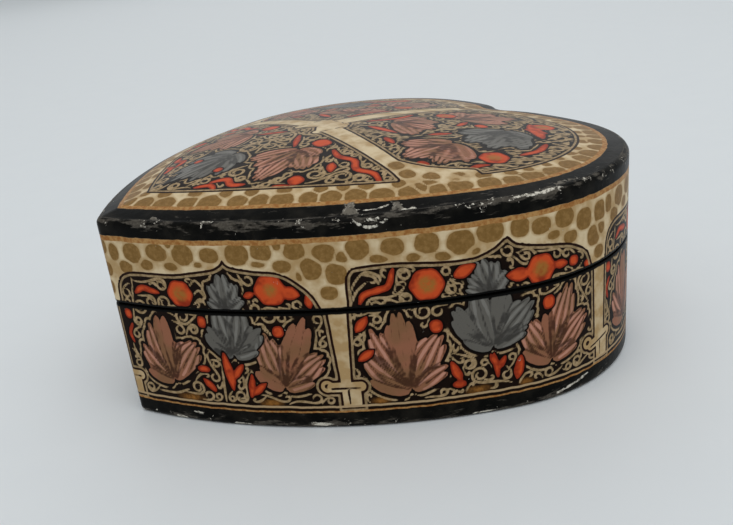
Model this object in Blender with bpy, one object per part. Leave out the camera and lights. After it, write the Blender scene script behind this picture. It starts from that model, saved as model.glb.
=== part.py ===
"""Heart-shaped papier-mache trinket box: a hollow base tray and a low domed lift-off lid."""

import math

import bpy
import bmesh

# Heart outline seen from above at the rim, measured from where the two long sides would cross at the tip
LOBE_RADIUS = 0.0301
LOBE_FORWARD = 0.0599
LOBE_OFFSET = 0.0167
SIDE_RADIUS = 0.0912
TIP_RADIUS = 0.0024
CLEFT_RADIUS = 0.0036
INNER_TIP_RADIUS = 0.0006

# Heights above the table
SEAM_HEIGHT = 0.0207
RIM_HEIGHT = 0.0358

# Dome of the lid: its rise over the rim, how soon it falls, and how soon the cleft fades toward its point
DOME_RISE = 0.0062
DOME_POWER = 1.7
DOME_CLEFT_FADE = 1.3
DOME_SHIFT = -0.0019

# The dome stays fuller beside the cleft, as if the heart reached this much further there
CLEFT_FILL = 0.0045
CLEFT_FILL_WIDTH = 0.0105

# Walls: how far the foot stands in from the rim, and their thicknesses
TAPER = 0.0009
WALL = 0.0026
FLOOR = 0.0026
CEILING = 0.0024

# Rounded edges
RIM_EDGE = 0.0012
FOOT_EDGE = 0.0008
FLOOR_EDGE = 0.0008
COLLAR_EDGE = 0.00035

# Collar that locates the lid
LID_GAP = 0.0003
COLLAR_CLEARANCE = 0.00035
COLLAR_THICKNESS = 0.0014
COLLAR_RISE = 0.0050
COLLAR_DEPTH = 0.0060

# Facets
TIP_STEPS = 4
SIDE_STEPS = 15
LOBE_STEPS = 26
CLEFT_STEPS = 4
DOME_RINGS = 9
RIM_EDGE_STEPS = 4
FOOT_EDGE_STEPS = 2
SMOOTH_BELOW = math.radians(35.0)

# Black lacquer under the painting
LACQUER = (0.012, 0.011, 0.013, 1.0)
LACQUER_ROUGHNESS = 0.35


def clear_scene():
    for obj in list(bpy.data.objects):
        bpy.data.objects.remove(obj, do_unlink=True)


def collection(name):
    group = bpy.data.collections.new(name)
    bpy.context.scene.collection.children.link(group)
    return group


def lacquer(name):
    material = bpy.data.materials.new(name)
    material.use_nodes = True
    shader = material.node_tree.nodes["Principled BSDF"]
    shader.inputs["Base Color"].default_value = LACQUER
    shader.inputs["Roughness"].default_value = LACQUER_ROUGHNESS
    shader.inputs["Metallic"].default_value = 0.0
    material.diffuse_color = LACQUER
    return material


def side_centre():
    """Centre of the long side arc, which starts at the tip and runs smoothly into the lobe."""
    distance = math.hypot(LOBE_FORWARD, LOBE_OFFSET)
    along = (SIDE_RADIUS ** 2 - (SIDE_RADIUS - LOBE_RADIUS) ** 2 + distance ** 2) / (2.0 * distance)
    across = math.sqrt(SIDE_RADIUS ** 2 - along ** 2)
    unit_x = LOBE_OFFSET / distance
    unit_y = LOBE_FORWARD / distance
    return (along * unit_x - across * unit_y, along * unit_y + across * unit_x)


def arc(centre, radius, start, end, steps):
    """Points of an arc, the last one left for the next arc."""
    points = []
    for step in range(steps):
        angle = start + (end - start) * step / steps
        points.append((centre[0] + radius * math.cos(angle), centre[1] + radius * math.sin(angle)))
    return points


def heart(inset):
    """Outline of the heart moved inward by inset, counter-clockwise from the tip, with a fixed count."""
    side_middle = side_centre()
    lobe_middle = (LOBE_OFFSET, LOBE_FORWARD)
    side = SIDE_RADIUS - inset
    lobe = LOBE_RADIUS - inset
    tip = max(TIP_RADIUS - inset, INNER_TIP_RADIUS)
    cleft = CLEFT_RADIUS + inset
    tip_middle = (0.0, side_middle[1] - math.sqrt((side - tip) ** 2 - side_middle[0] ** 2))
    cleft_middle = (0.0, LOBE_FORWARD + math.sqrt((lobe + cleft) ** 2 - LOBE_OFFSET ** 2))

    to_side = math.atan2(tip_middle[1] - side_middle[1], tip_middle[0] - side_middle[0])
    to_lobe = math.atan2(lobe_middle[1] - side_middle[1], lobe_middle[0] - side_middle[0])
    to_cleft = math.atan2(cleft_middle[1] - lobe_middle[1], cleft_middle[0] - lobe_middle[0])

    half = arc(tip_middle, tip, -math.pi / 2, to_side, TIP_STEPS)
    half += arc(side_middle, side, to_side, to_lobe, SIDE_STEPS)
    half += arc(lobe_middle, lobe, to_lobe, to_cleft, LOBE_STEPS)
    half += arc(cleft_middle, cleft, to_cleft - math.pi, -math.pi / 2, CLEFT_STEPS)
    half.append((0.0, cleft_middle[1] - cleft))
    mirrored = [(-x, y) for x, y in reversed(half[1:-1])]
    return half + mirrored


def heart_middle():
    """Middle of the outline along its axis, which is the origin of the box."""
    along = [y for x, y in heart(0.0)]
    return (min(along) + max(along)) / 2


def ring(inset, height):
    """One level ring of the box."""
    middle = heart_middle()
    return [(x, y - middle, height) for x, y in heart(inset)]


def taper_inset(height):
    """How far the leaning wall stands in from the rim at a height."""
    return TAPER * (1.0 - height / RIM_HEIGHT)


def dome_rise(share):
    """Rise of the dome at a share of the way from its point to the rim."""
    return DOME_RISE * (1.0 - share ** DOME_POWER)


def cleft_fill(x, y):
    """How much further the dome behaves as if it reached, beside the cleft."""
    if y < 0.0:
        return 0.0
    return CLEFT_FILL * math.exp(-((x / CLEFT_FILL_WIDTH) ** 2))


def dome_ring(inset, share, drop):
    """Ring of the dome: heart-shaped at the rim, rounder toward the point."""
    outline = ring(inset, RIM_HEIGHT - drop)
    reach = [math.hypot(x, y - DOME_SHIFT) for x, y, z in outline]
    mean = sum(reach) / len(reach)
    heart_share = share ** DOME_CLEFT_FADE
    points = []
    for (x, y, z), size in zip(outline, reach):
        scale = share * (heart_share + (1.0 - heart_share) * mean / size)
        rise = dome_rise(share * size / (size + cleft_fill(x, y)))
        points.append((x * scale, DOME_SHIFT + (y - DOME_SHIFT) * scale, z + rise))
    return points


def rim_ring(angle):
    """Ring of the rounded rim, which runs from the wall at angle 0 into the dome at a right angle."""
    foot = RIM_HEIGHT - RIM_EDGE
    outline = ring(RIM_EDGE * (1.0 - math.cos(angle)), foot)
    tops = [z for x, y, z in dome_ring(RIM_EDGE, 1.0, 0.0)]
    return [(x, y, foot + (top - foot) * math.sin(angle)) for (x, y, z), top in zip(outline, tops)]


def loft(name, rings, first_pole, last_pole, group):
    """Closed skin over a chain of rings, closed at both ends by a fan to a pole."""
    mesh = bmesh.new()
    levels = [[mesh.verts.new(point) for point in points] for points in rings]
    first = mesh.verts.new(first_pole)
    last = mesh.verts.new(last_pole)
    count = len(rings[0])
    for index in range(count):
        following = (index + 1) % count
        mesh.faces.new((first, levels[0][following], levels[0][index]))
        mesh.faces.new((levels[-1][index], levels[-1][following], last))
        for lower, upper in zip(levels, levels[1:]):
            mesh.faces.new((lower[index], lower[following], upper[following], upper[index]))
    bmesh.ops.triangulate(mesh, faces=mesh.faces)
    bmesh.ops.recalc_face_normals(mesh, faces=mesh.faces)
    data = bpy.data.meshes.new(name)
    mesh.to_mesh(data)
    mesh.free()
    data.materials.append(lacquer(name + "_lacquer"))
    data.shade_smooth()
    data.set_sharp_from_angle(angle=SMOOTH_BELOW)
    obj = bpy.data.objects.new(name, data)
    group.objects.link(obj)
    return obj


def build_base(group):
    """Tray with a rounded foot, leaning walls and a collar standing above the seam."""
    foot = taper_inset(0.0)
    seam = taper_inset(SEAM_HEIGHT)
    shoulder = seam + WALL + COLLAR_CLEARANCE
    collar_inside = shoulder + COLLAR_THICKNESS
    collar_top = SEAM_HEIGHT + COLLAR_RISE
    collar_foot = SEAM_HEIGHT - COLLAR_DEPTH
    wall_inside = seam + WALL
    floor_inside = foot + WALL
    rings = []
    for step in range(FOOT_EDGE_STEPS + 1):
        angle = math.pi / 2 * step / FOOT_EDGE_STEPS
        rings.append(ring(foot + FOOT_EDGE * (1.0 - math.sin(angle)), FOOT_EDGE * (1.0 - math.cos(angle))))
    rings += [
        ring(seam, SEAM_HEIGHT),
        ring(shoulder, SEAM_HEIGHT),
        ring(shoulder, collar_top - COLLAR_EDGE),
        ring(shoulder + COLLAR_EDGE, collar_top),
        ring(collar_inside, collar_top),
        ring(collar_inside, collar_foot),
        ring(wall_inside, collar_foot - (collar_inside - wall_inside)),
        ring(floor_inside, FLOOR + FLOOR_EDGE),
        ring(floor_inside + FLOOR_EDGE, FLOOR),
    ]
    return loft("base", rings, (0.0, DOME_SHIFT, 0.0), (0.0, DOME_SHIFT, FLOOR), group)


def build_lid(group):
    """Cap with leaning walls, a rounded rim and a low dome, hollow below."""
    seat = SEAM_HEIGHT + LID_GAP
    edge_foot = RIM_HEIGHT - RIM_EDGE
    rings = [dome_ring(WALL, step / DOME_RINGS, CEILING) for step in range(1, DOME_RINGS + 1)]
    rings += [
        ring(taper_inset(seat) + WALL, seat),
        ring(taper_inset(seat), seat),
        ring(taper_inset(edge_foot), edge_foot),
    ]
    rings += [rim_ring(math.pi / 2 * step / RIM_EDGE_STEPS) for step in range(1, RIM_EDGE_STEPS + 1)]
    rings += [dome_ring(RIM_EDGE, step / DOME_RINGS, 0.0) for step in range(DOME_RINGS - 1, 0, -1)]
    point = RIM_HEIGHT + DOME_RISE
    return loft("lid", rings, (0.0, DOME_SHIFT, point - CEILING), (0.0, DOME_SHIFT, point), group)


def main():
    clear_scene()
    group = collection("trinket_box")
    build_base(group)
    build_lid(group)


main()
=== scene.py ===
"""Heart-shaped painted papier-mache trinket box: lofted shells, hand-painted panels, varnish and wear."""

import logging
import math
from dataclasses import dataclass, field, replace
from enum import Enum
from typing import Any, Sequence

import bpy
import numpy as np
from mathutils import Matrix, Vector
from mathutils.kdtree import KDTree


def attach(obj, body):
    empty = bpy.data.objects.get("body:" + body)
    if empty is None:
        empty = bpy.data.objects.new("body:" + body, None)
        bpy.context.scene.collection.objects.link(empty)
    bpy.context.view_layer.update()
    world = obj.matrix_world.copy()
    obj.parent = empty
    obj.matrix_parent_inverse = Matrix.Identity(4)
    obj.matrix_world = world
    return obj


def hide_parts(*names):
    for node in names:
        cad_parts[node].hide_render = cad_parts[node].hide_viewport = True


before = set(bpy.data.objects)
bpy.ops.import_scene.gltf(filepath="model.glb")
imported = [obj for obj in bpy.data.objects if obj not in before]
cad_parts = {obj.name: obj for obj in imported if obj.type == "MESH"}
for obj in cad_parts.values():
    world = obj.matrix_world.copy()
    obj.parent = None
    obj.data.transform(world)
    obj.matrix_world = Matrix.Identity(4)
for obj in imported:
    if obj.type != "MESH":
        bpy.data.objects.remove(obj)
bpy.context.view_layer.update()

LOG = logging.getLogger("trinket_box")
MM = 0.001

# Paint distances in millimetres: unpainted, round a motif, between spots, from a frame to its vines
FAR = 9.0
MARGIN = 1.5
SPOT_GAP = 0.42
FRAME_MARGIN = 0.62

Colour = tuple[float, float, float, float]


def pigment(red: int, green: int, blue: int) -> Colour:
    """Linear colour of a paint as it is mixed on a screen."""
    def linear(share: float) -> float:
        """One channel made linear."""
        return share / 12.92 if share <= 0.04045 else ((share + 0.055) / 1.055) ** 2.4

    return (linear(red / 255.0), linear(green / 255.0), linear(blue / 255.0), 1.0)


# Node expressions


class Graph:
    """A node tree under construction, for a material or for geometry."""

    def __init__(self, tree: bpy.types.NodeTree) -> None:
        """Starts on an empty or fresh tree."""
        self.tree = tree

    def node(self, kind: str, settings: dict[str, Any] | None = None,
             inputs: dict[Any, Any] | None = None, output: int | str = 0) -> "Value":
        """Adds one node, its settings first and its sockets after them."""
        made = self.tree.nodes.new(kind)
        for name, setting in (settings or {}).items():
            setattr(made, name, setting)
        for key, item in (inputs or {}).items():
            self.feed(made.inputs[key], item)
        return Value(self, made.outputs[output])

    def feed(self, socket: bpy.types.NodeSocket, item: Any) -> None:
        """Links an expression to a socket, or sets a plain value on it."""
        if isinstance(item, Value):
            self.tree.links.new(item.socket, socket)
        elif isinstance(item, list):
            for one in item:
                self.tree.links.new(one.socket, socket)
        else:
            socket.default_value = item

    def math(self, operation: str, *items: Any) -> "Value":
        """One Math node."""
        return self.node("ShaderNodeMath", {"operation": operation}, dict(enumerate(items)))

    def combine(self, x: Any, y: Any, z: Any) -> "Value":
        """A vector from three numbers."""
        return self.node("ShaderNodeCombineXYZ", None, {0: x, 1: y, 2: z})

    def mix(self, factor: Any, under: Any, over: Any) -> "Value":
        """Lays one colour over another by the share of the upper one."""
        return self.node("ShaderNodeMix", {"data_type": "RGBA"}, {0: factor, 6: under, 7: over}, 2)

    def attribute(self, name: str) -> "Value":
        """A float attribute of the mesh, read by a material."""
        return self.node("ShaderNodeAttribute", {"attribute_name": name}, None, "Fac")

    def noise(self, coords: "Value", scale: float, detail: float = 2.0, rough: float = 0.5,
              warp: float = 0.0) -> "Value":
        """Noise from 0 to 1."""
        inputs = {"Vector": coords, "Scale": scale, "Detail": detail, "Roughness": rough, "Distortion": warp}
        return self.node("ShaderNodeTexNoise", None, inputs, 0)


class Value:
    """One output socket with arithmetic, so that node maths reads as an expression."""

    def __init__(self, graph: Graph, socket: bpy.types.NodeSocket) -> None:
        """Wraps a socket."""
        self.graph = graph
        self.socket = socket

    def __add__(self, other: Any) -> "Value":
        """Sum."""
        return self.graph.math("ADD", self, other)

    def __radd__(self, other: Any) -> "Value":
        """Sum, reflected."""
        return self.graph.math("ADD", other, self)

    def __sub__(self, other: Any) -> "Value":
        """Difference."""
        return self.graph.math("SUBTRACT", self, other)

    def __rsub__(self, other: Any) -> "Value":
        """Difference, reflected."""
        return self.graph.math("SUBTRACT", other, self)

    def __mul__(self, other: Any) -> "Value":
        """Product."""
        return self.graph.math("MULTIPLY", self, other)

    def __rmul__(self, other: Any) -> "Value":
        """Product, reflected."""
        return self.graph.math("MULTIPLY", other, self)

    def __truediv__(self, other: Any) -> "Value":
        """Quotient."""
        return self.graph.math("DIVIDE", self, other)

    def __pow__(self, other: Any) -> "Value":
        """Power."""
        return self.graph.math("POWER", self, other)

    def __neg__(self) -> "Value":
        """Opposite."""
        return self.graph.math("MULTIPLY", self, -1.0)

    def size(self) -> "Value":
        """Absolute value."""
        return self.graph.math("ABSOLUTE", self)

    def most(self, other: Any) -> "Value":
        """The larger of the two."""
        return self.graph.math("MAXIMUM", self, other)

    def over(self, other: Any) -> "Value":
        """1 where this is greater than the other, else 0."""
        return self.graph.math("GREATER_THAN", self, other)

    def under(self, other: Any) -> "Value":
        """1 where this is less than the other, else 0."""
        return self.graph.math("LESS_THAN", self, other)

    def cosine(self) -> "Value":
        """Cosine."""
        return self.graph.math("COSINE", self)

    def sine(self) -> "Value":
        """Sine."""
        return self.graph.math("SINE", self)

    def floor(self) -> "Value":
        """Whole part."""
        return self.graph.math("FLOOR", self)

    def angle(self, across: Any) -> "Value":
        """Angle of the direction that goes up by this value and across by the other."""
        return self.graph.math("ARCTAN2", self, across)

    def clamped(self) -> "Value":
        """Held between 0 and 1."""
        return self.graph.node("ShaderNodeClamp", None, {0: self})

    def step(self, low: float, high: float) -> "Value":
        """Smooth rise from 0 at low to 1 at high."""
        settings = {"interpolation_type": "SMOOTHSTEP"}
        return self.graph.node("ShaderNodeMapRange", settings, {0: self, 1: low, 2: high})

    def parts(self) -> tuple["Value", "Value", "Value"]:
        """The three numbers of a vector."""
        x = self.graph.node("ShaderNodeSeparateXYZ", None, {0: self})
        outputs = x.socket.node.outputs
        return x, Value(self.graph, outputs[1]), Value(self.graph, outputs[2])


# Shape of the box


@dataclass(frozen=True)
class Arc:
    """A circular arc of the plan."""

    centre: tuple[float, float]
    radius: float
    start: float
    end: float

    def length(self) -> float:
        """Length of the arc."""
        return abs(self.end - self.start) * self.radius

    def points(self, steps: int) -> np.ndarray:
        """Points along the arc, the last left for the next arc."""
        angles = self.start + (self.end - self.start) * np.arange(steps) / steps
        x = self.centre[0] + self.radius * np.cos(angles)
        y = self.centre[1] + self.radius * np.sin(angles)
        return np.stack([x, y], axis=1)


@dataclass(frozen=True)
class HeartPlan:
    """Outline of the heart from above, with the sizes that the solids have."""

    lobe_radius: float = 0.0301
    lobe_forward: float = 0.0599
    lobe_offset: float = 0.0167
    side_radius: float = 0.0912
    tip_radius: float = 0.0024
    cleft_radius: float = 0.0036
    inner_tip_radius: float = 0.0006
    tip_steps: int = 4
    side_steps: int = 15
    lobe_steps: int = 26
    cleft_steps: int = 4

    def side_centre(self) -> tuple[float, float]:
        """Centre of the long side arc."""
        distance = math.hypot(self.lobe_forward, self.lobe_offset)
        inner = self.side_radius - self.lobe_radius
        along = (self.side_radius ** 2 - inner ** 2 + distance ** 2) / (2.0 * distance)
        across = math.sqrt(self.side_radius ** 2 - along ** 2)
        unit_x = self.lobe_offset / distance
        unit_y = self.lobe_forward / distance
        return (along * unit_x - across * unit_y, along * unit_y + across * unit_x)

    def arcs(self, inset: float) -> list[Arc]:
        """The arcs of the right half from the tip to the cleft.

        Args:
            inset: How far the outline is moved inward.

        Returns:
            Tip, side, lobe and cleft arcs.
        """
        side_x, side_y = self.side_centre()
        side = self.side_radius - inset
        lobe = self.lobe_radius - inset
        tip = max(self.tip_radius - inset, self.inner_tip_radius)
        cleft = self.cleft_radius + inset
        tip_y = side_y - math.sqrt((side - tip) ** 2 - side_x ** 2)
        cleft_y = self.lobe_forward + math.sqrt((lobe + cleft) ** 2 - self.lobe_offset ** 2)
        to_side = math.atan2(tip_y - side_y, -side_x)
        to_lobe = math.atan2(self.lobe_forward - side_y, self.lobe_offset - side_x)
        to_cleft = math.atan2(cleft_y - self.lobe_forward, -self.lobe_offset)
        return [
            Arc((0.0, tip_y), tip, -math.pi / 2, to_side),
            Arc((side_x, side_y), side, to_side, to_lobe),
            Arc((self.lobe_offset, self.lobe_forward), lobe, to_lobe, to_cleft),
            Arc((0.0, cleft_y), cleft, to_cleft - math.pi, -math.pi / 2),
        ]

    def outline(self, inset: float, steps: Sequence[int] | None = None) -> np.ndarray:
        """The whole outline counter-clockwise from the tip."""
        counts = steps or (self.tip_steps, self.side_steps, self.lobe_steps, self.cleft_steps)
        arcs = self.arcs(inset)
        half = np.concatenate([arc.points(count) for arc, count in zip(arcs, counts)])
        cleft = arcs[-1]
        half = np.concatenate([half, [[0.0, cleft.centre[1] - cleft.radius]]])
        mirrored = half[1:-1][::-1] * np.array([-1.0, 1.0])
        return np.concatenate([half, mirrored])

    def middle(self) -> float:
        """Middle of the outline along its axis, which is the origin of the box."""
        along = self.outline(0.0)[:, 1]
        return float(along.min() + along.max()) / 2.0

    def shares(self) -> list[float]:
        """Shares of the half outline at which the tip, side and lobe arcs end."""
        lengths = [arc.length() for arc in self.arcs(0.0)]
        total = sum(lengths)
        return [sum(lengths[:count]) / total for count in (1, 2, 3)]

    def half_length(self) -> float:
        """Length of the outline from the tip to the cleft."""
        return sum(arc.length() for arc in self.arcs(0.0))

    def mean_reach(self, inset: float, shift: float) -> float:
        """Mean distance of the outline from the point of the dome."""
        points = self.outline(inset)
        return float(np.hypot(points[:, 0], points[:, 1] - self.middle() - shift).mean())


@dataclass(frozen=True)
class DomeShape:
    """Low dome of the lid."""

    rise: float = 0.0062
    power: float = 1.7
    cleft_fade: float = 1.3
    shift: float = -0.0019
    fill: float = 0.0045
    fill_width: float = 0.0105


@dataclass(frozen=True)
class WallShape:
    """Heights and thicknesses that both halves share."""

    seam_height: float = 0.0207
    rim_height: float = 0.0358
    taper: float = 0.0009
    wall: float = 0.0026
    lid_gap: float = 0.0003

    def inset(self, height: float) -> float:
        """How far the leaning wall stands in from the rim at a height."""
        return self.taper * (1.0 - height / self.rim_height)


@dataclass(frozen=True)
class ProfileRow:
    """One level of a lofted shell."""

    inset: float
    height: float
    share: float = 1.0
    doming: float = 0.0
    reach: float = 0.04


class LoftTree:
    """Geometry Nodes tree that lofts a profile round the heart.

    With a domed top the profile runs down the outside; without one it climbs it, and the faces are turned.
    """

    def __init__(self, name: str, plan: HeartPlan, dome: DomeShape, material: bpy.types.Material,
                 columns: int, cap_reach: float = 0.0, cap_inset: float = 0.0,
                 cap_height: float = 0.0) -> None:
        """Builds the tree.

        Args:
            name: Name of the tree.
            plan: The heart.
            dome: The dome.
            material: Finish that the tree sets.
            columns: Points round the heart; with a cap, a multiple of four.
            cap_reach: Mean reach of the rim; 0 leaves the cap out.
            cap_inset: Inset of the cap's edge.
            cap_height: Height of the cap's edge.
        """
        self.tree = bpy.data.node_groups.new(name, "GeometryNodeTree")
        self.graph = Graph(self.tree)
        self.settings: dict[str, Any] = {}
        face = self.tree.interface
        face.new_socket(name="Profile", in_out="INPUT", socket_type="NodeSocketGeometry")
        face.new_socket(name="Shell", in_out="OUTPUT", socket_type="NodeSocketGeometry")
        tip_share, side_share, lobe_share = plan.shares()
        sizes = {
            "Lobe Radius": plan.lobe_radius, "Lobe Forward": plan.lobe_forward,
            "Lobe Offset": plan.lobe_offset, "Side Radius": plan.side_radius,
            "Tip Radius": plan.tip_radius, "Cleft Radius": plan.cleft_radius,
            "Inner Tip Radius": plan.inner_tip_radius, "Tip Share": tip_share,
            "Side Share": side_share, "Lobe Share": lobe_share, "Middle": plan.middle(),
            "Dome Rise": dome.rise, "Dome Power": dome.power, "Cleft Fade": dome.cleft_fade,
            "Dome Shift": dome.shift, "Cleft Fill": dome.fill, "Cleft Fill Width": dome.fill_width,
            "Cap Reach": cap_reach, "Cap Inset": cap_inset, "Cap Height": cap_height,
        }
        for label, size in sizes.items():
            self.add_input(label, "NodeSocketFloat", size)
        self.add_input("Columns", "NodeSocketInt", columns)
        self.add_input("Finish", "NodeSocketMaterial", material)
        entry = self.tree.nodes.new("NodeGroupInput")
        self.inputs = {socket.name: Value(self.graph, socket) for socket in entry.outputs if socket.name}
        shell = self.loft()
        if cap_reach > 0.0:
            shell = self.graph.node("GeometryNodeJoinGeometry", None, {0: [self.cap(), shell]})
        else:
            shell = self.graph.node("GeometryNodeFlipFaces", None, {0: shell})
        shell = self.graph.node("GeometryNodeMergeByDistance", None, {0: shell, "Distance": 1.0e-6})
        shell = self.graph.node("GeometryNodeRealizeInstances", None, {0: shell})
        shell = self.graph.node("GeometryNodeSetMaterial", None,
                                {0: shell, "Material": self.inputs["Finish"]})
        last = self.tree.nodes.new("NodeGroupOutput")
        self.graph.feed(last.inputs[0], shell)

    def add_input(self, name: str, kind: str, start: Any) -> None:
        """Adds a named input and keeps the value it is given."""
        socket = self.tree.interface.new_socket(name=name, in_out="INPUT", socket_type=kind)
        self.settings[socket.identifier] = start

    def trace(self, around: Value, inset: Value) -> tuple[Value, Value]:
        """Place on the heart at a share of the way round and an inset.

        Args:
            around: Share of the whole outline from the tip, counter-clockwise.
            inset: How far the outline is moved inward.

        Returns:
            The x and y about the box's origin.
        """
        sizes = self.inputs
        forward, offset, radius = sizes["Lobe Forward"], sizes["Lobe Offset"], sizes["Side Radius"]
        half = 1.0 - (1.0 - 2.0 * around).size()
        hand = 1.0 - 2.0 * around.over(0.5)
        distance = (forward ** 2.0 + offset ** 2.0) ** 0.5
        inner = radius - sizes["Lobe Radius"]
        along = (radius ** 2.0 - inner ** 2.0 + distance ** 2.0) / (2.0 * distance)
        across = (radius ** 2.0 - along ** 2.0) ** 0.5
        side_x = (along * offset - across * forward) / distance
        side_y = (along * forward + across * offset) / distance
        side = radius - inset
        lobe = sizes["Lobe Radius"] - inset
        tip = (sizes["Tip Radius"] - inset).most(sizes["Inner Tip Radius"])
        cleft = sizes["Cleft Radius"] + inset
        tip_y = side_y - ((side - tip) ** 2.0 - side_x * side_x) ** 0.5
        cleft_y = forward + ((lobe + cleft) ** 2.0 - offset ** 2.0) ** 0.5
        to_side = (tip_y - side_y).angle(-side_x)
        to_lobe = (forward - side_y).angle(offset - side_x)
        to_cleft = (cleft_y - forward).angle(-offset)
        first, second, third = sizes["Tip Share"], sizes["Side Share"], sizes["Lobe Share"]
        x, y = self.sweep(half / first, tip, -math.pi / 2, to_side)
        y = tip_y - tip + y
        legs = (
            ((half - first) / (second - first), side, to_side, to_lobe),
            ((half - second) / (third - second), lobe, to_lobe, to_cleft),
            ((half - third) / (1.0 - third), cleft, to_cleft - math.pi, -math.pi / 2),
        )
        for progress, size, start, end in legs:
            step_x, step_y = self.sweep(progress, size, start, end)
            x = x + step_x
            y = y + step_y
        return x * hand, y - sizes["Middle"]

    def sweep(self, progress: Value, radius: Value, start: Any, end: Any) -> tuple[Value, Value]:
        """How far one arc has carried the outline."""
        turn = (self.graph.math("SUBTRACT", end, start)) * progress.clamped()
        angle = turn + start
        begin = self.graph.math("ADD", start, 0.0)
        return radius * (angle.cosine() - begin.cosine()), radius * (angle.sine() - begin.sine())

    def place(self, around: Value, row: dict[str, Value]) -> Value:
        """Position of a point of the shell.

        Args:
            around: Share of the way round.
            row: Inset, share, height, doming and reach of its level.

        Returns:
            The position vector.
        """
        sizes = self.inputs
        x, y = self.trace(around, row["inset"])
        ahead = y - sizes["Dome Shift"]
        size = (x * x + ahead * ahead) ** 0.5
        heart_share = row["share"] ** sizes["Cleft Fade"]
        scale = row["share"] * (heart_share + (1.0 - heart_share) * row["reach"] / size)
        spread = -((x / sizes["Cleft Fill Width"]) ** 2.0)
        fill = sizes["Cleft Fill"] * self.graph.math("EXPONENT", spread) * y.over(0.0)
        fallen = (row["share"] * size / (size + fill)) ** sizes["Dome Power"]
        rise = sizes["Dome Rise"] * (1.0 - fallen)
        return self.graph.combine(x * scale, sizes["Dome Shift"] + ahead * scale,
                                  row["height"] + row["doming"] * rise)

    def mark(self, mesh: Value, position: Value, marks: dict[str, Value]) -> Value:
        """Moves the points of a mesh and writes down where they lie on the shell."""
        for name, item in marks.items():
            settings = {"data_type": "FLOAT", "domain": "POINT"}
            mesh = self.graph.node("GeometryNodeStoreNamedAttribute", settings,
                                   {"Geometry": mesh, "Name": name, "Value": item})
        return self.graph.node("GeometryNodeSetPosition", None, {"Geometry": mesh, "Position": position})

    def loft(self) -> Value:
        """The lofted skin, one ring of points for each level of the profile."""
        graph, sizes = self.graph, self.inputs
        profile = sizes["Profile"]
        rows = graph.node("GeometryNodeAttributeDomainSize", {"component": "MESH"}, {0: profile})
        tube = graph.node("GeometryNodeMeshCylinder", {"fill_type": "NONE"},
                          {"Vertices": sizes["Columns"], "Side Segments": rows - 1.0})
        index = graph.node("GeometryNodeInputIndex")
        row = (index / sizes["Columns"]).floor()
        column = index - row * sizes["Columns"]
        corner = graph.node("GeometryNodeSampleIndex", {"data_type": "FLOAT_VECTOR", "domain": "POINT"},
                            {0: profile, 1: graph.node("GeometryNodeInputPosition"), 2: row})
        inset, share, height = corner.parts()
        level = {"inset": inset, "share": share, "height": height}
        for name in ("doming", "reach"):
            written = graph.node("GeometryNodeInputNamedAttribute", {"data_type": "FLOAT"}, {0: name})
            level[name] = graph.node("GeometryNodeSampleIndex", {"data_type": "FLOAT", "domain": "POINT"},
                                     {0: profile, 1: written, 2: row})
        around = column / sizes["Columns"]
        marks = {"around": around, "level": row, "top": row * 0.0}
        return self.mark(tube, self.place(around, level), marks)

    def cap(self) -> Value:
        """The domed top: square cells whose outermost ring meets the rim point for point."""
        graph, sizes = self.graph, self.inputs
        side = sizes["Columns"] / 4.0 + 1.0
        grid = graph.node("GeometryNodeMeshGrid", None,
                          {"Size X": 2.0, "Size Y": 2.0, "Vertices X": side, "Vertices Y": side})
        across, along, _ = graph.node("GeometryNodeInputPosition").parts()
        ring = across.size().most(along.size())
        safe = ring.most(1.0e-6)
        flat_x, flat_y = across / safe, along / safe
        around = 0.75 + (1.0 - flat_y) / 8.0
        edge = 1.0 - 1.0e-4
        for on_side, share in (
            (flat_y.over(edge), 0.5 + (1.0 - flat_x) / 8.0),
            (flat_x.over(edge), 0.25 + (1.0 + flat_y) / 8.0),
            (flat_y.under(-edge), (1.0 + flat_x) / 8.0),
        ):
            around = around + (share - around) * on_side
        level = {"inset": sizes["Cap Inset"], "share": ring, "height": sizes["Cap Height"],
                 "doming": 1.0, "reach": sizes["Cap Reach"]}
        marks = {"around": around, "level": ring * 0.0 - 1.0, "top": ring * 0.0 + 1.0}
        return self.mark(grid, self.place(around, level), marks)

    def build(self, name: str, rows: Sequence[ProfileRow]) -> bpy.types.Object:
        """Runs the tree on a profile and keeps the result as a plain mesh.

        Args:
            name: Name of the piece.
            rows: The levels in order.

        Returns:
            The finished object at the origin.
        """
        draft = bpy.data.meshes.new(name + "_profile")
        draft.from_pydata([(row.inset, row.share, row.height) for row in rows], [], [])
        for label in ("doming", "reach"):
            written = draft.attributes.new(label, "FLOAT", "POINT")
            written.data.foreach_set("value", [getattr(row, label) for row in rows])
        host = bpy.data.objects.new(name + "_host", draft)
        bpy.context.scene.collection.objects.link(host)
        modifier = host.modifiers.new("loft", "NODES")
        modifier.node_group = self.tree
        for identifier, setting in self.settings.items():
            modifier[identifier] = setting
        graph = bpy.context.evaluated_depsgraph_get()
        graph.update()
        mesh = bpy.data.meshes.new_from_object(host.evaluated_get(graph), depsgraph=graph)
        host.modifiers.remove(modifier)
        bpy.data.objects.remove(host)
        bpy.data.meshes.remove(draft)
        mesh.name = name
        piece = bpy.data.objects.new(name, mesh)
        bpy.context.scene.collection.objects.link(piece)
        return piece


# Painting


class Coat(Enum):
    """The painted layers, each stored as a distance in millimetres that is negative where it is painted."""

    CREAM = "cream"
    SPOT = "spot"
    INK = "ink"
    SCROLL = "scroll"
    BROWN = "brown"
    GREY = "grey"
    VEIN = "vein"
    CREASE = "crease"
    ORANGE = "orange"
    OCHRE = "ochre"
    CHIP = "chip"
    SCAR = "scar"


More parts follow.
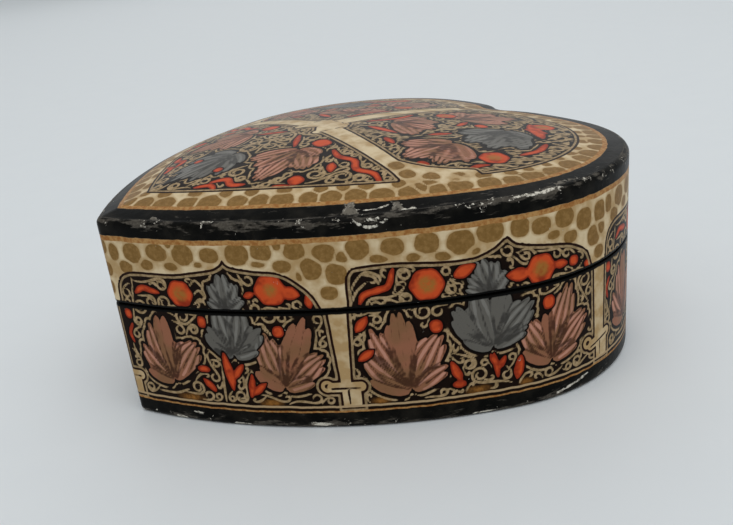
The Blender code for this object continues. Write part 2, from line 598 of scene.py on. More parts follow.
@dataclass
class Canvas:
    """The points of a surface laid flat in millimetres, and the paint on them."""

    u: np.ndarray
    v: np.ndarray
    paint: dict[Coat, np.ndarray] = field(default_factory=dict)

    def __post_init__(self) -> None:
        """Starts every layer bare."""
        for coat in Coat:
            self.paint[coat] = np.full(len(self.u), FAR)
        self.rival = np.full(len(self.u), FAR)

    def part_spots(self) -> None:
        """Leaves some ground between neighbouring spots."""
        first = self.paint[Coat.SPOT]
        self.paint[Coat.SPOT] = np.maximum(first, (SPOT_GAP - (self.rival - first)) / 2.0)

    def whole(self) -> "Window":
        """The whole canvas as one window."""
        return self.window(np.arange(len(self.u)), 0.0, 1.0)

    def window(self, chosen: np.ndarray, offset: float, stretch: float) -> "Window":
        """Part of the canvas with its own measure along it."""
        return Window(self, chosen, (self.u[chosen] - offset) / stretch, self.v[chosen])


@dataclass
class Window:
    """A part of a canvas that motifs are laid on."""

    canvas: Canvas
    chosen: np.ndarray
    u: np.ndarray
    v: np.ndarray

    def near(self, u: float, v: float, reach: float) -> np.ndarray:
        """Which points lie within a square about a place."""
        return np.flatnonzero((np.abs(self.u - u) < reach) & (np.abs(self.v - v) < reach))

    def lay(self, coat: Coat, places: np.ndarray, distance: np.ndarray) -> None:
        """Adds paint where it is nearer than what is there."""
        index = self.chosen[places]
        held = self.canvas.paint[coat]
        if coat is Coat.SPOT:
            beaten = np.maximum(held[index], distance)
            self.canvas.rival[index] = np.minimum(self.canvas.rival[index], beaten)
        held[index] = np.minimum(held[index], distance)

    def read(self, coat: Coat) -> np.ndarray:
        """Distance from a layer at every point of the window."""
        return self.canvas.paint[coat][self.chosen]

    def line(self, coat: Coat, path: np.ndarray, width: float, taper: float = 0.0) -> None:
        """Draws a brush line."""
        middle, reach = extent(path)
        places = self.near(middle[0], middle[1], reach + 1.6)
        if len(places) == 0:
            return
        distance, share = path_distance(self.u[places], self.v[places], path)
        half = width / 2.0 * (1.0 - taper * (2.0 * share - 1.0) ** 4)
        self.lay(coat, places, distance - half)


def extent(path: np.ndarray) -> tuple[np.ndarray, float]:
    """Middle of a path and half the longer side of its box."""
    low, high = path.min(axis=0), path.max(axis=0)
    return (low + high) / 2.0, float((high - low).max()) / 2.0


def search_tree(points: np.ndarray) -> KDTree:
    """A tree that finds the nearest of some flat points."""
    tree = KDTree(len(points))
    for number, (u, v) in enumerate(points):
        tree.insert((u, v, 0.0), number)
    tree.balance()
    return tree


def path_place(u: np.ndarray, v: np.ndarray, path: np.ndarray) -> tuple[np.ndarray, np.ndarray]:
    """Signed distance of points from a path, and how far along it the nearest place is.

    Args:
        u: Places along.
        v: Places up.
        path: Points of the path.

    Returns:
        The distances, positive to the left, and the shares of the path's length.
    """
    start, end = path[:-1], path[1:]
    span = end - start
    square = np.maximum((span ** 2).sum(axis=1), 1e-9)
    du = u[:, None] - start[None, :, 0]
    dv = v[:, None] - start[None, :, 1]
    part = np.clip((du * span[:, 0] + dv * span[:, 1]) / square, 0.0, 1.0)
    apart = np.hypot(du - part * span[:, 0], dv - part * span[:, 1])
    best = apart.argmin(axis=1)
    rows = np.arange(len(u))
    share = (best + part[rows, best]) / max(len(start), 1)
    left = span[best, 0] * dv[rows, best] - span[best, 1] * du[rows, best]
    return apart[rows, best] * np.where(left < 0.0, -1.0, 1.0), share


def path_distance(u: np.ndarray, v: np.ndarray, path: np.ndarray) -> tuple[np.ndarray, np.ndarray]:
    """Distance of points from a path, and how far along it the nearest place is."""
    apart, share = path_place(u, v, path)
    return np.abs(apart), share


def turned(u: np.ndarray, v: np.ndarray, place: tuple[float, float],
           degrees: float) -> tuple[np.ndarray, np.ndarray]:
    """Coordinates along and across a direction from a place."""
    c, s = math.cos(math.radians(degrees)), math.sin(math.radians(degrees))
    du, dv = u - place[0], v - place[1]
    return du * c + dv * s, dv * c - du * s


def petal_shape(along: np.ndarray, across: np.ndarray, length: float, width: float,
                bend: float) -> np.ndarray:
    """Distance from a pointed petal that starts at the origin."""
    share = np.clip(along / length, 0.0, 1.0)
    off = across - bend * share ** 2
    half = width / 2.0 * np.sin(math.pi * share ** 0.9) ** 0.75
    inside = (np.abs(off) - half) * 0.85
    before = np.hypot(along, across)
    beyond = np.hypot(along - length, off)
    return np.where(along < 0.0, before, np.where(along > length, beyond, inside))


@dataclass(frozen=True)
class Petal:
    """A plain painted petal, bud or flame."""

    u: float
    v: float
    angle: float
    length: float
    width: float
    bend: float = 0.0

    def apply(self, window: Window) -> None:
        """Paints it."""
        places = window.near(self.u, self.v, self.length + self.width + MARGIN)
        along, across = turned(window.u[places], window.v[places], (self.u, self.v), self.angle)
        distance = petal_shape(along, across, self.length, self.width, self.bend)
        window.lay(Coat.ORANGE, places, distance)


@dataclass(frozen=True)
class Spot:
    """A round or oval dab."""

    u: float
    v: float
    across: float = 1.5
    up: float = 1.4
    coat: Coat = Coat.SPOT
    fullness: float = 2.4

    def apply(self, window: Window) -> None:
        """Paints it."""
        places = window.near(self.u, self.v, self.across + self.up + MARGIN)
        du = np.abs(window.u[places] - self.u) / self.across
        dv = np.abs(window.v[places] - self.v) / self.up
        reach = (du ** self.fullness + dv ** self.fullness) ** (1.0 / self.fullness)
        window.lay(self.coat, places, (reach - 1.0) * min(self.across, self.up))


@dataclass(frozen=True)
class Bud(Spot):
    """A small orange dab."""

    coat: Coat = Coat.ORANGE


@dataclass(frozen=True)
class Flower:
    """A round orange flower with a gold-brown heart."""

    u: float
    v: float
    radius: float = 2.4
    heart: float = 0.95
    petals: int = 6
    wave: float = 0.035
    margin: float = 1.6

    def apply(self, window: Window) -> None:
        """Paints it."""
        places = window.near(self.u, self.v, self.radius + self.margin)
        du, dv = window.u[places] - self.u, window.v[places] - self.v
        edge = self.radius * (1.0 + self.wave * np.cos(self.petals * np.arctan2(dv, du)))
        reach = np.hypot(du, dv)
        window.lay(Coat.ORANGE, places, reach - edge)
        window.lay(Coat.OCHRE, places, reach - self.heart * 1.25)


@dataclass(frozen=True)
class Squiggle:
    """A wavy brush stroke through a few places."""

    path: tuple[tuple[float, float], ...]
    width: float = 0.9
    coat: Coat = Coat.ORANGE

    def apply(self, window: Window) -> None:
        """Paints it."""
        window.line(self.coat, smooth_path(np.array(self.path), 6), self.width, 0.55)


@dataclass(frozen=True)
class Tendril(Squiggle):
    """A thin scroll line drawn by hand."""

    width: float = 0.42
    coat: Coat = Coat.SCROLL


@dataclass(frozen=True)
class Scratch(Squiggle):
    """A scratch through the lacquer."""

    coat: Coat = Coat.SCAR


@dataclass(frozen=True)
class Lobe:
    """One lobe of a leaf, by the place of its point."""

    u: float
    v: float
    width: float = 4.4
    bend: float = 0.0
    fronds: int = 4
    striped: bool = True

    def stroke(self, foot: tuple[float, float], lean: float) -> np.ndarray:
        """Midline of one brush stroke of the lobe.

        Args:
            foot: Foot of the leaf.
            lean: Place of the stroke across the lobe, from -1 to 1.

        Returns:
            Its path from the foot outward.
        """
        start = np.array(foot)
        reach = np.array([self.u, self.v]) - start
        aside = np.array([-reach[1], reach[0]]) / np.hypot(*reach)
        share = np.linspace(0.0, 1.0, 9)[:, None]
        point = start + reach * (1.0 - 0.26 * lean ** 2) + aside * lean * self.width * 0.44
        root = start + reach * 0.04 + aside * lean * 0.3
        knee = start + reach * 0.52 + aside * (lean * self.width * 0.62 + self.bend)
        return root * (1.0 - share) ** 2 + 2.0 * knee * share * (1.0 - share) + point * share ** 2

    def outline(self, u: np.ndarray, v: np.ndarray, foot: tuple[float, float]) -> np.ndarray:
        """Distance from the lobe, whose edge follows its strokes."""
        half = self.width / self.fronds * 0.74
        nearest = np.full(len(u), FAR)
        for number in range(self.fronds):
            apart, share = path_distance(u, v, self.stroke(foot, (2.0 * number + 1.0) / self.fronds - 1.0))
            swelling = half * np.sin(math.pi * np.clip(share, 0.0, 1.0) ** 0.74) ** 0.4
            nearest = np.minimum(nearest, apart - swelling)
        return nearest

    def stripes(self, u: np.ndarray, v: np.ndarray,
                foot: tuple[float, float]) -> tuple[np.ndarray, np.ndarray]:
        """Distances from the light streaks of the strokes and from the dark lines between them.

        Args:
            u: Places along.
            v: Places up.
            foot: Foot of the leaf.

        Returns:
            Both distances.
        """
        apart, share = path_place(u, v, self.stroke(foot, 0.0))
        spread = self.width * 0.62 * np.sin(math.pi * np.clip(share, 0.02, 0.98) ** 0.75) ** 0.5
        phase = (apart / spread + 1.0) / 2.0 * self.fronds
        off = np.abs(phase - np.floor(phase) - 0.5)
        pitch = 2.0 * spread / self.fronds
        ends = np.maximum(0.14 - share, share - 0.93) * 9.0
        light = np.maximum(off * pitch - np.minimum(0.2 + 0.08 * share, 0.27 * pitch), ends)
        dark = (0.5 - off) * pitch - np.minimum(0.13 if self.striped else 0.03, 0.16 * pitch)
        dark = np.maximum(dark, np.maximum(0.3 - share, share - 0.93) * 6.0)
        return light if self.striped else np.full(len(u), FAR), dark


@dataclass(frozen=True)
class Leaf:
    """A lobed leaf brushed in fronds from its foot, with light streaks, dark creases and a broken outline."""

    u: float
    v: float
    coat: Coat
    lobes: tuple[Lobe, ...]
    echo: float = 0.78
    echo_half: float = 0.2
    edge: float = 0.05
    crease_half: float = 0.13
    crease_depth: float = 0.9

    def apply(self, window: Window) -> None:
        """Paints it."""
        reach = max(math.hypot(lobe.u - self.u, lobe.v - self.v) for lobe in self.lobes) + 2.5
        places = window.near(self.u, self.v, reach)
        if len(places) == 0:
            return
        u, v = window.u[places], window.v[places]
        foot = (self.u, self.v)
        first = np.full(len(places), FAR)
        second = np.full(len(places), FAR)
        vein = np.full(len(places), FAR)
        crease = np.full(len(places), FAR)
        for lobe in self.lobes:
            distance = lobe.outline(u, v, foot)
            light, dark = lobe.stripes(u, v, foot)
            vein = np.where(distance < first, light, vein)
            crease = np.where(distance < first, dark, crease)
            second = np.minimum(second, np.maximum(first, distance))
            first = np.minimum(first, distance)
        window.lay(self.coat, places, first)
        window.lay(Coat.VEIN, places, np.maximum(vein, first + self.edge))
        notch = np.maximum((second - first) / 2.0 - self.crease_half, -self.crease_depth - first)
        window.lay(Coat.CREASE, places, np.maximum(np.minimum(crease, notch), first))
        turn = np.arctan2(v - self.v, u - self.u)
        broken = (np.sin(turn * 5.0 + self.u) + 0.7) * 0.5
        window.lay(Coat.SCROLL, places, np.maximum(np.abs(first - self.echo) - self.echo_half, -broken))


def smooth_path(points: np.ndarray, steps: int) -> np.ndarray:
    """A rounded path through a few places.

    Args:
        points: The places.
        steps: Points between each two.

    Returns:
        The path.
    """
    padded = np.concatenate([[2 * points[0] - points[1]], points, [2 * points[-1] - points[-2]]])
    share = (np.arange(steps) / steps)[:, None]
    parts = []
    for first, second, third, fourth in zip(padded, padded[1:], padded[2:], padded[3:]):
        parts.append(0.5 * (2 * second + (third - first) * share
                            + (2 * first - 5 * second + 4 * third - fourth) * share ** 2
                            + (3 * second - first - 3 * third + fourth) * share ** 3))
    parts.append(points[-1:])
    return np.concatenate(parts)


@dataclass
class VineWork:
    """Brushed tan vines that fill what ground is left, the largest gaps first."""

    seed: int
    gap: float = 0.34
    width: float = 0.42
    smallest: float = 0.56
    largest: float = 1.75
    tries: int = 9
    stride: float = 0.26
    strides: int = 24
    limit: int = 900

    def grow(self, sheet: "Sheet", room: np.ndarray) -> list[np.ndarray]:
        """Grows the vines one after another.

        Args:
            sheet: The raster that they are planned on.
            room: Distance from the nearest painted thing at each of its points.

        Returns:
            Their paths.
        """
        rng = np.random.default_rng(self.seed)
        free = room.copy()
        window = sheet.window
        paths: list[np.ndarray] = []
        while len(paths) < self.limit:
            best = int(free.argmax())
            clear = float(free[best])
            if clear < self.smallest:
                break
            centre = np.array([window.u[best], window.v[best]])
            radius = min(clear, self.largest) - self.gap
            path = max((self.vine(centre, radius, rng, sheet, free) for _ in range(self.tries)), key=len)
            middle, reach = extent(path)
            places = window.near(middle[0], middle[1], reach + 2.4)
            distance, _ = path_distance(window.u[places], window.v[places], path)
            free[places] = np.minimum(free[places], distance - self.width * 0.3)
            free[best] = min(free[best], 0.0)
            paths.append(path)
        return paths

    def vine(self, centre: np.ndarray, radius: float, rng: np.random.Generator, sheet: "Sheet",
             free: np.ndarray) -> np.ndarray:
        """One curl and the tail that runs from it until it meets something.

        Args:
            centre: Middle of the curl.
            radius: Its outer radius.
            rng: Source of its turn and hand.
            sheet: The raster.
            free: Distance from the nearest painted thing at each of its points.

        Returns:
            Its path.
        """
        turns = 0.4 if radius < 0.5 else 0.7 if radius < 0.85 else 1.3
        hand = 1.0 if rng.random() < 0.5 else -1.0
        start = rng.uniform(0.0, 2.0 * math.pi)
        points = []
        for share in np.linspace(0.0, 1.0, int(7 + 14 * turns)):
            angle = start + hand * share * turns * 2.0 * math.pi
            reach = radius * (0.36 + 0.64 * share if turns > 1.0 else 0.8 + 0.2 * share)
            points.append(centre + reach * np.array([math.cos(angle), math.sin(angle)]))
        heading = angle + hand * math.pi / 2.0
        curve = hand / max(radius, 0.5)
        place = points[-1]
        last = -hand * rng.uniform(0.05, 0.5)
        for _ in range(self.strides):
            curve += (last - curve) * 0.16
            heading += curve * self.stride
            place = place + self.stride * np.array([math.cos(heading), math.sin(heading)])
            if sheet.look(place, free) < 0.16:
                break
            points.append(place)
        return np.array(points)


@dataclass
class Sheet:
    """A small raster on which vines are planned, with the same measure as the picture."""

    low: tuple[float, float]
    high: tuple[float, float]
    pitch: float = 0.2

    def __post_init__(self) -> None:
        """Lays out its points."""
        self.wide = int((self.high[0] - self.low[0]) / self.pitch) + 1
        self.tall = int((self.high[1] - self.low[1]) / self.pitch) + 1
        along = self.low[0] + self.pitch * np.arange(self.wide)
        up = self.low[1] + self.pitch * np.arange(self.tall)
        u, v = np.meshgrid(along, up)
        self.canvas = Canvas(u.ravel(), v.ravel())
        self.window = self.canvas.whole()

    def look(self, place: np.ndarray, numbers: np.ndarray) -> float:
        """Reads numbers on the raster at a place; outside it there is no room."""
        column = int(round((place[0] - self.low[0]) / self.pitch))
        row = int(round((place[1] - self.low[1]) / self.pitch))
        if column < 0 or row < 0 or column >= self.wide or row >= self.tall:
            return 0.0
        return float(numbers[row * self.wide + column])

    def room(self) -> np.ndarray:
        """Distance from whatever is painted so far."""
        held = np.full(len(self.window.u), FAR)
        for coat in (Coat.BROWN, Coat.GREY, Coat.ORANGE, Coat.OCHRE, Coat.SCROLL):
            held = np.minimum(held, self.window.read(coat))
        return np.minimum(held, self.window.read(Coat.CREAM) - FRAME_MARGIN)


@dataclass(frozen=True)
class PanelPicture:
    """What is painted in one arched panel, in its own millimetres."""

    width: float
    arch: tuple[tuple[float, float], ...]
    spots: tuple[Spot, ...]
    motifs: tuple[Any, ...]
    seed: int
    spot_growth: float = 1.13

    def arch_ground(self, window: Window, inside: np.ndarray) -> None:
        """Paints the cream ground over the arch."""
        line = np.array(self.arch)
        u, v = window.u[inside], window.v[inside]
        edge = np.interp(np.clip(u, line[0, 0], line[-1, 0]), line[:, 0], line[:, 1])
        distance, _ = path_distance(u, v, smooth_path(line, 3))
        window.lay(Coat.CREAM, inside, distance * np.where(v > edge, -1.0, 1.0))

    def grown_spots(self, offset: float, stretch: float) -> list[Spot]:
        """The spots of the arch's ground, by their places on the wall."""
        return [replace(spot, u=offset + stretch * spot.u, across=spot.across * self.spot_growth,
                        up=spot.up * self.spot_growth) for spot in self.spots]

    def vines(self, low: float, high: float) -> list[np.ndarray]:
        """Plans the vines between the motifs.

        Args:
            low: Lowest place that they reach.
            high: Highest.

        Returns:
            Their paths.
        """
        sheet = Sheet((0.0, low), (self.width, high))
        self.arch_ground(sheet.window, np.arange(len(sheet.window.u)))
        WallColumn(0.0).apply(sheet.window)
        WallColumn(self.width).apply(sheet.window)
        for motif in self.motifs:
            motif.apply(sheet.window)
        room = np.minimum(sheet.room(), sheet.window.v - low + 0.1)
        return VineWork(self.seed).grow(sheet, room)


def near_panel() -> PanelPicture:
    """The panel next to the tip."""
    arch = ((0.0, 20.0), (1.35, 20.9), (1.7, 24.0), (2.6, 25.8), (4.0, 26.7), (6.0, 27.1), (10.0, 27.15),
            (14.0, 27.2), (17.5, 27.7), (20.75, 28.2), (22.3, 28.9), (23.2, 29.9), (23.9, 28.8),
            (27.5, 28.1), (31.25, 27.7), (33.25, 27.0), (35.5, 25.2), (37.0, 23.5), (37.9, 21.5),
            (38.3, 20.9), (40.05, 20.0))
    spots = (
        Spot(2.6, 30.2, 0.9, 1.3), Spot(6.5, 30.3, 1.6, 1.5), Spot(11.4, 30.7, 1.8, 1.3),
        Spot(16.3, 30.5, 1.7, 1.6), Spot(21.0, 30.5, 1.45, 1.1), Spot(25.7, 30.7, 1.7, 1.6),
        Spot(29.7, 31.1, 1.5, 1.4), Spot(34.9, 31.1, 1.5, 1.3), Spot(39.4, 30.4, 1.6, 1.3),
        Spot(4.6, 27.8, 1.2, 1.0), Spot(9.1, 28.5, 1.1, 0.8), Spot(13.7, 28.4, 1.1, 0.6),
        Spot(28.9, 29.1, 1.0, 0.5), Spot(32.7, 28.6, 1.3, 0.9), Spot(37.1, 28.0, 1.5, 1.6),
        Spot(40.9, 26.9, 1.45, 1.55), Spot(39.5, 23.9, 1.2, 1.0), Spot(0.3, 27.0, 1.0, 1.1),
        Spot(0.0, 23.8, 0.9, 1.0), Spot(0.0, 31.0, 1.0, 1.2), Spot(32.4, 31.9, 0.7, 0.6),
        Spot(18.7, 28.9, 0.7, 0.4), Spot(13.9, 32.0, 0.6, 0.4), Spot(35.2, 26.9, 0.5, 0.7),
    )
    motifs = (
        Leaf(9.8, 7.6, Coat.BROWN, (Lobe(4.3, 9.6, 2.6, 0.5, 2, False), Lobe(4.5, 13.8, 3.4, 0.8, 3),
                                    Lobe(6.8, 18.0, 3.6, 0.9, 3), Lobe(9.3, 20.3, 3.2, 0.5, 2, False),
                                    Lobe(15.6, 15.2, 5.0, 1.0, 5), Lobe(12.0, 15.4, 2.4, 0.3, 2, False))),
        Leaf(30.2, 7.4, Coat.BROWN, (Lobe(25.7, 11.2, 3.0, 0.4, 2, False), Lobe(27.5, 17.5, 4.2, 0.9, 4),
                                     Lobe(34.9, 20.0, 4.2, 0.2, 3, False), Lobe(31.0, 15.8, 2.4, 0.2, 2),
                                     Lobe(37.2, 13.4, 4.8, 0.9, 5), Lobe(35.4, 8.9, 2.6, 0.5, 2))),
        Leaf(22.2, 13.2, Coat.GREY, (Lobe(18.2, 18.2, 3.8, 0.4, 3, False), Lobe(20.6, 21.8, 3.6, 0.2, 3),
                                     Lobe(24.2, 21.8, 4.0, -0.2, 3), Lobe(27.6, 18.2, 3.6, 0.2, 3, False),
                                     Lobe(26.6, 14.6, 2.6, 0.3, 2), Lobe(19.0, 15.2, 2.2, 0.2, 2, False))),
        Leaf(22.2, 20.6, Coat.GREY, (Lobe(22.3, 27.9, 2.4, 0.0, 2), Lobe(24.6, 26.2, 1.9, 0.2, 2),
                                     Lobe(19.9, 26.0, 1.9, -0.2, 2), Lobe(25.6, 23.4, 1.7, 0.3, 2),
                                     Lobe(19.2, 23.0, 1.7, -0.3, 2))),
        Flower(14.4, 23.8, 2.3, 0.95), Flower(30.2, 24.7, 2.6, 0.8), Petal(31.8, 24.6, -16.0, 3.2, 2.3),
        Squiggle(((5.4, 23.3), (7.0, 24.3), (8.6, 24.0), (10.2, 23.7)), 1.1),
        Petal(25.6, 23.6, 20.0, 2.0, 1.2), Petal(36.2, 21.4, 96.0, 2.6, 1.4),
        Bud(2.7, 19.2, 0.75, 0.9), Squiggle(((3.1, 17.4), (2.2, 15.6), (2.6, 13.9)), 0.7),
        Bud(17.4, 19.0, 0.75, 1.05), Bud(30.4, 17.6, 0.95, 1.0),
        Petal(21.0, 6.6, 92.0, 7.3, 1.7, 0.5), Petal(21.4, 8.8, 58.0, 3.6, 1.3, -0.2),
        Petal(24.0, 5.4, 78.0, 4.6, 1.2, 0.2), Petal(24.3, 6.0, 44.0, 3.6, 1.3, -0.2),
        Petal(17.7, 6.2, 128.0, 3.3, 1.3, 0.2), Bud(16.1, 10.4, 1.1, 0.6),
        Tendril(((6.0, 5.2), (9.6, 5.2), (12.4, 6.2)), 0.45),
        Tendril(((19.2, 4.4), (19.4, 8.0), (19.7, 11.8))),
        Tendril(((16.6, 22.0), (18.0, 23.0), (18.8, 22.0))),
        Tendril(((16.6, 23.5), (18.0, 24.5), (18.8, 23.5))),
        Tendril(((16.4, 25.1), (17.6, 26.2), (18.7, 25.1))),
        Spot(12.6, 4.7, 1.5, 0.45, Coat.OCHRE), Spot(27.4, 4.7, 1.2, 0.45, Coat.OCHRE),
    )
    return PanelPicture(40.05, arch, spots, motifs, 11)


def far_panel() -> PanelPicture:
    """The panel on the fuller part of the side."""
    arch = ((0.0, 20.0), (1.75, 20.9), (1.95, 25.5), (2.6, 27.2), (4.0, 27.9), (9.95, 28.1), (15.95, 27.5),
            (19.95, 27.3), (22.45, 27.5), (24.95, 28.5), (27.05, 29.9), (28.55, 28.6), (32.45, 27.6),
            (37.45, 26.6), (39.95, 25.5), (41.95, 24.0), (42.9, 21.5), (43.2, 20.9), (44.85, 20.0))
    spots = (
        Spot(0.95, 26.9, 1.15, 1.6), Spot(0.2, 24.0, 1.0, 1.1), Spot(4.45, 30.7, 1.6, 1.5),
        Spot(9.7, 30.6, 1.6, 1.3), Spot(14.85, 30.6, 1.65, 1.5), Spot(19.95, 30.0, 1.9, 1.7),
        Spot(24.5, 31.0, 1.9, 1.5), Spot(29.2, 30.9, 1.4, 1.4), Spot(32.7, 30.5, 1.5, 1.2),
        Spot(36.95, 30.8, 1.6, 1.4), Spot(41.05, 29.5, 1.5, 1.6), Spot(44.95, 29.6, 1.3, 1.7),
        Spot(7.45, 28.9, 1.25, 0.6), Spot(12.7, 28.6, 1.0, 0.6), Spot(17.2, 28.2, 1.1, 0.65),
        Spot(38.05, 27.4, 1.2, 0.9), Spot(43.35, 26.1, 1.4, 1.5), Spot(44.7, 23.0, 1.1, 1.0),
        Spot(22.0, 28.3, 0.8, 0.5), Spot(34.9, 28.5, 1.0, 0.6), Spot(1.9, 29.6, 0.9, 0.8),
    )
    motifs = (
        Leaf(10.6, 6.1, Coat.BROWN, (Lobe(4.0, 9.2, 3.0, 0.6, 2, False), Lobe(3.5, 13.2, 3.8, 0.9, 3),
                                     Lobe(4.9, 17.5, 3.4, 0.9, 3), Lobe(9.2, 20.1, 4.8, 0.5, 4, False),
                                     Lobe(15.8, 15.6, 4.8, 0.9, 4), Lobe(16.6, 9.8, 3.4, 0.7, 3))),
        Leaf(34.0, 7.4, Coat.BROWN, (Lobe(28.9, 10.8, 3.0, 0.4, 2, False), Lobe(29.2, 15.8, 4.2, 0.9, 4),
                                     Lobe(37.8, 20.0, 4.4, 0.2, 4), Lobe(33.4, 16.4, 2.6, 0.2, 2, False),
                                     Lobe(41.2, 14.2, 5.2, 1.0, 5), Lobe(39.4, 9.2, 2.6, 0.5, 2))),
        Leaf(24.0, 11.8, Coat.GREY, (Lobe(18.1, 19.4, 4.4, 0.6, 4, False), Lobe(21.6, 21.8, 3.4, 0.2, 2),
                                     Lobe(26.2, 21.8, 3.6, 0.1, 3, False), Lobe(30.8, 19.0, 4.6, 0.5, 4),
                                     Lobe(29.8, 14.4, 3.0, 0.5, 3), Lobe(19.4, 14.6, 2.6, 0.3, 2, False))),
        Leaf(24.2, 20.6, Coat.GREY, (Lobe(22.4, 27.2, 2.4, 0.0, 2), Lobe(25.0, 26.6, 2.0, 0.2, 2),
                                     Lobe(20.6, 24.6, 1.8, -0.2, 2), Lobe(27.2, 24.4, 1.9, 0.3, 2),
                                     Lobe(20.0, 22.6, 1.6, -0.3, 2))),
        Flower(14.35, 23.9, 2.65, 1.1), Flower(32.45, 23.5, 2.5, 1.0), Petal(30.6, 23.2, 176.0, 4.0, 2.3),
        Petal(18.4, 24.6, 24.0, 3.9, 2.1), Petal(34.6, 23.6, -6.0, 3.0, 1.5),
        Bud(38.7, 23.3, 0.95, 0.85), Bud(41.9, 21.9, 0.9, 0.7),
        Squiggle(((3.9, 21.8), (4.7, 23.2), (6.9, 23.8), (8.5, 24.4), (9.4, 27.0)), 1.15),
        Petal(2.7, 17.0, 52.0, 3.4, 1.6), Petal(2.6, 12.0, 34.0, 3.2, 1.5),
        Bud(15.2, 16.8, 1.0, 1.15), Bud(33.7, 17.6, 1.1, 1.2),
        Petal(18.6, 6.6, 112.0, 4.2, 1.5), Bud(18.2, 6.2, 1.1, 0.65),
        Petal(24.5, 6.2, 92.0, 4.6, 1.0, 0.3), Petal(24.7, 7.8, 60.0, 2.6, 1.1),
        Petal(24.6, 8.2, 116.0, 2.9, 1.1), Petal(27.6, 5.4, 74.0, 4.4, 1.7, 0.3),
        Spot(5.5, 4.7, 0.9, 0.4, Coat.OCHRE), Spot(21.2, 4.7, 1.2, 0.45, Coat.OCHRE),
        Spot(29.2, 4.6, 0.7, 0.4, Coat.OCHRE),
        Tendril(((27.8, 26.6), (29.6, 24.9), (31.6, 25.6), (30.6, 27.2), (28.4, 27.0))),
        Tendril(((2.2, 22.6), (3.4, 25.2), (5.2, 26.9), (7.3, 26.0), (7.0, 24.6))),
        Tendril(((2.6, 21.8), (3.6, 23.8), (5.3, 25.3))),
    )
    return PanelPicture(44.85, arch, spots, motifs, 12)


@dataclass(frozen=True)
class WallColumn:
    """A cream column of the wall, from the seam down to its scrolled foot."""

    place: float
    tilt: float = 0.0
    top_half: float = 1.45
    low_half: float = 0.8
    foot: float = 7.0
    top: float = 20.8
    bar_height: float = 7.5
    bar_half: float = 2.3
    bar_thick: float = 0.85
    reach: float = 13.0

    def apply(self, window: Window) -> None:
        """Paints its shaft and foot."""
        places = window.near(self.place, self.reach, self.reach)
        u, v = window.u[places] - self.place, window.v[places]
        widening = np.clip((v - 9.0) / 11.7, 0.0, 1.0)
        half = self.low_half + (self.top_half - self.low_half) * widening
        shaft = np.where((v < self.foot) | (v > self.top), FAR, np.abs(u) - half)
        along, across = turned(u, v, (0.0, self.bar_height), self.tilt)
        bar = np.hypot(np.maximum(np.abs(along) - self.bar_half, 0.0), across) - self.bar_thick
        block = np.maximum(np.abs(u - 0.7) - 1.5, np.maximum(v - 7.4, 3.9 - v))
        curl = np.abs(np.hypot(u + 3.1, v - 7.7) - 0.75) - 0.3
        window.lay(Coat.CREAM, places, np.minimum(np.minimum(shaft, bar), np.minimum(block, curl)))
        stem = np.maximum(np.abs(u - 0.25) - 0.16, np.maximum(v - self.foot, 4.3 - v))
        line = np.hypot(np.maximum(np.abs(along + 0.1) - self.bar_half, 0.0), across + 0.25) - 0.17
        window.lay(Coat.INK, places, np.minimum(stem, line))


@dataclass
class WallPainter:
    """Paints the side walls of both halves on one flat canvas, folded at the tip and the cleft."""

    plan: HeartPlan
    band_top: float = 33.0
    picture_foot: float = 4.35
    first_end: float = 40.05
    second_end: float = 84.9
    third_end: float = 127.2
    vine_width: float = 0.42
    shared_reach: float = 1.7
    overlap: float = 2.5

    def __post_init__(self) -> None:
        """Plans the two pictures that the panels repeat."""
        self.near, self.far = near_panel(), far_panel()
        self.near_vines = self.near.vines(self.picture_foot, self.band_top)
        self.far_vines = self.far.vines(self.picture_foot, self.band_top)
        LOG.info("wall pictures: %d and %d vines", len(self.near_vines), len(self.far_vines))

    def apply(self, canvas: Canvas, lower: bool) -> None:
        """Paints the wall of one half.

        Args:
            canvas: Points by distance from the tip and height, in millimetres.
            lower: Whether it is the tray's wall.
        """
        half = self.plan.half_length() / MM
        near_run, far_run = (self.near, self.near_vines), (self.far, self.far_vines)
        third = (self.third_end - self.second_end) / self.near.width
        runs = (
            (0.0, self.first_end, near_run, 1.0, 0.0),
            (self.first_end, self.second_end, far_run, 1.0, self.first_end),
            (self.second_end, self.third_end, near_run, third, self.second_end),
            (self.third_end, half + 1.0, near_run, -1.0, self.third_end + self.near.width - 1.5),
        )
        if lower:
            everything = canvas.whole()
            for column in (WallColumn(0.0, 0.0, 0.1, 0.1), WallColumn(self.first_end + 0.2),
                           WallColumn(self.second_end, 14.0, 1.4, 1.2), WallColumn(self.third_end)):
                column.apply(everything)
        for start, end, (picture, vines), stretch, offset in runs:
            if not lower:
                chosen = np.flatnonzero((canvas.u >= start - self.overlap) & (canvas.u < end + self.overlap))
                window = canvas.window(chosen, offset, stretch)
                along = canvas.u[chosen]
                picture.arch_ground(window, np.flatnonzero((along >= start) & (along < end)))
            chosen = np.flatnonzero((canvas.u >= start) & (canvas.u < end))
            window = canvas.window(chosen, offset, stretch)
            for motif in picture.motifs:
                motif.apply(window)
            for vine in vines:
                window.line(Coat.SCROLL, vine, self.vine_width, 0.5)
        if not lower:
            self.dab([spot for _, _, (picture, _), stretch, offset in runs
                      for spot in picture.grown_spots(offset, stretch)], canvas)

    def dab(self, spots: Sequence[Spot], canvas: Canvas) -> None:
        """Dabs the spots of all panels and leaves out those that two panels share."""
        window = canvas.whole()
        kept: list[Spot] = []
        for spot in spots:
            if all(math.hypot(spot.u - other.u, spot.v - other.v) > self.shared_reach for other in kept):
                kept.append(spot)
                spot.apply(window)
        canvas.part_spots()


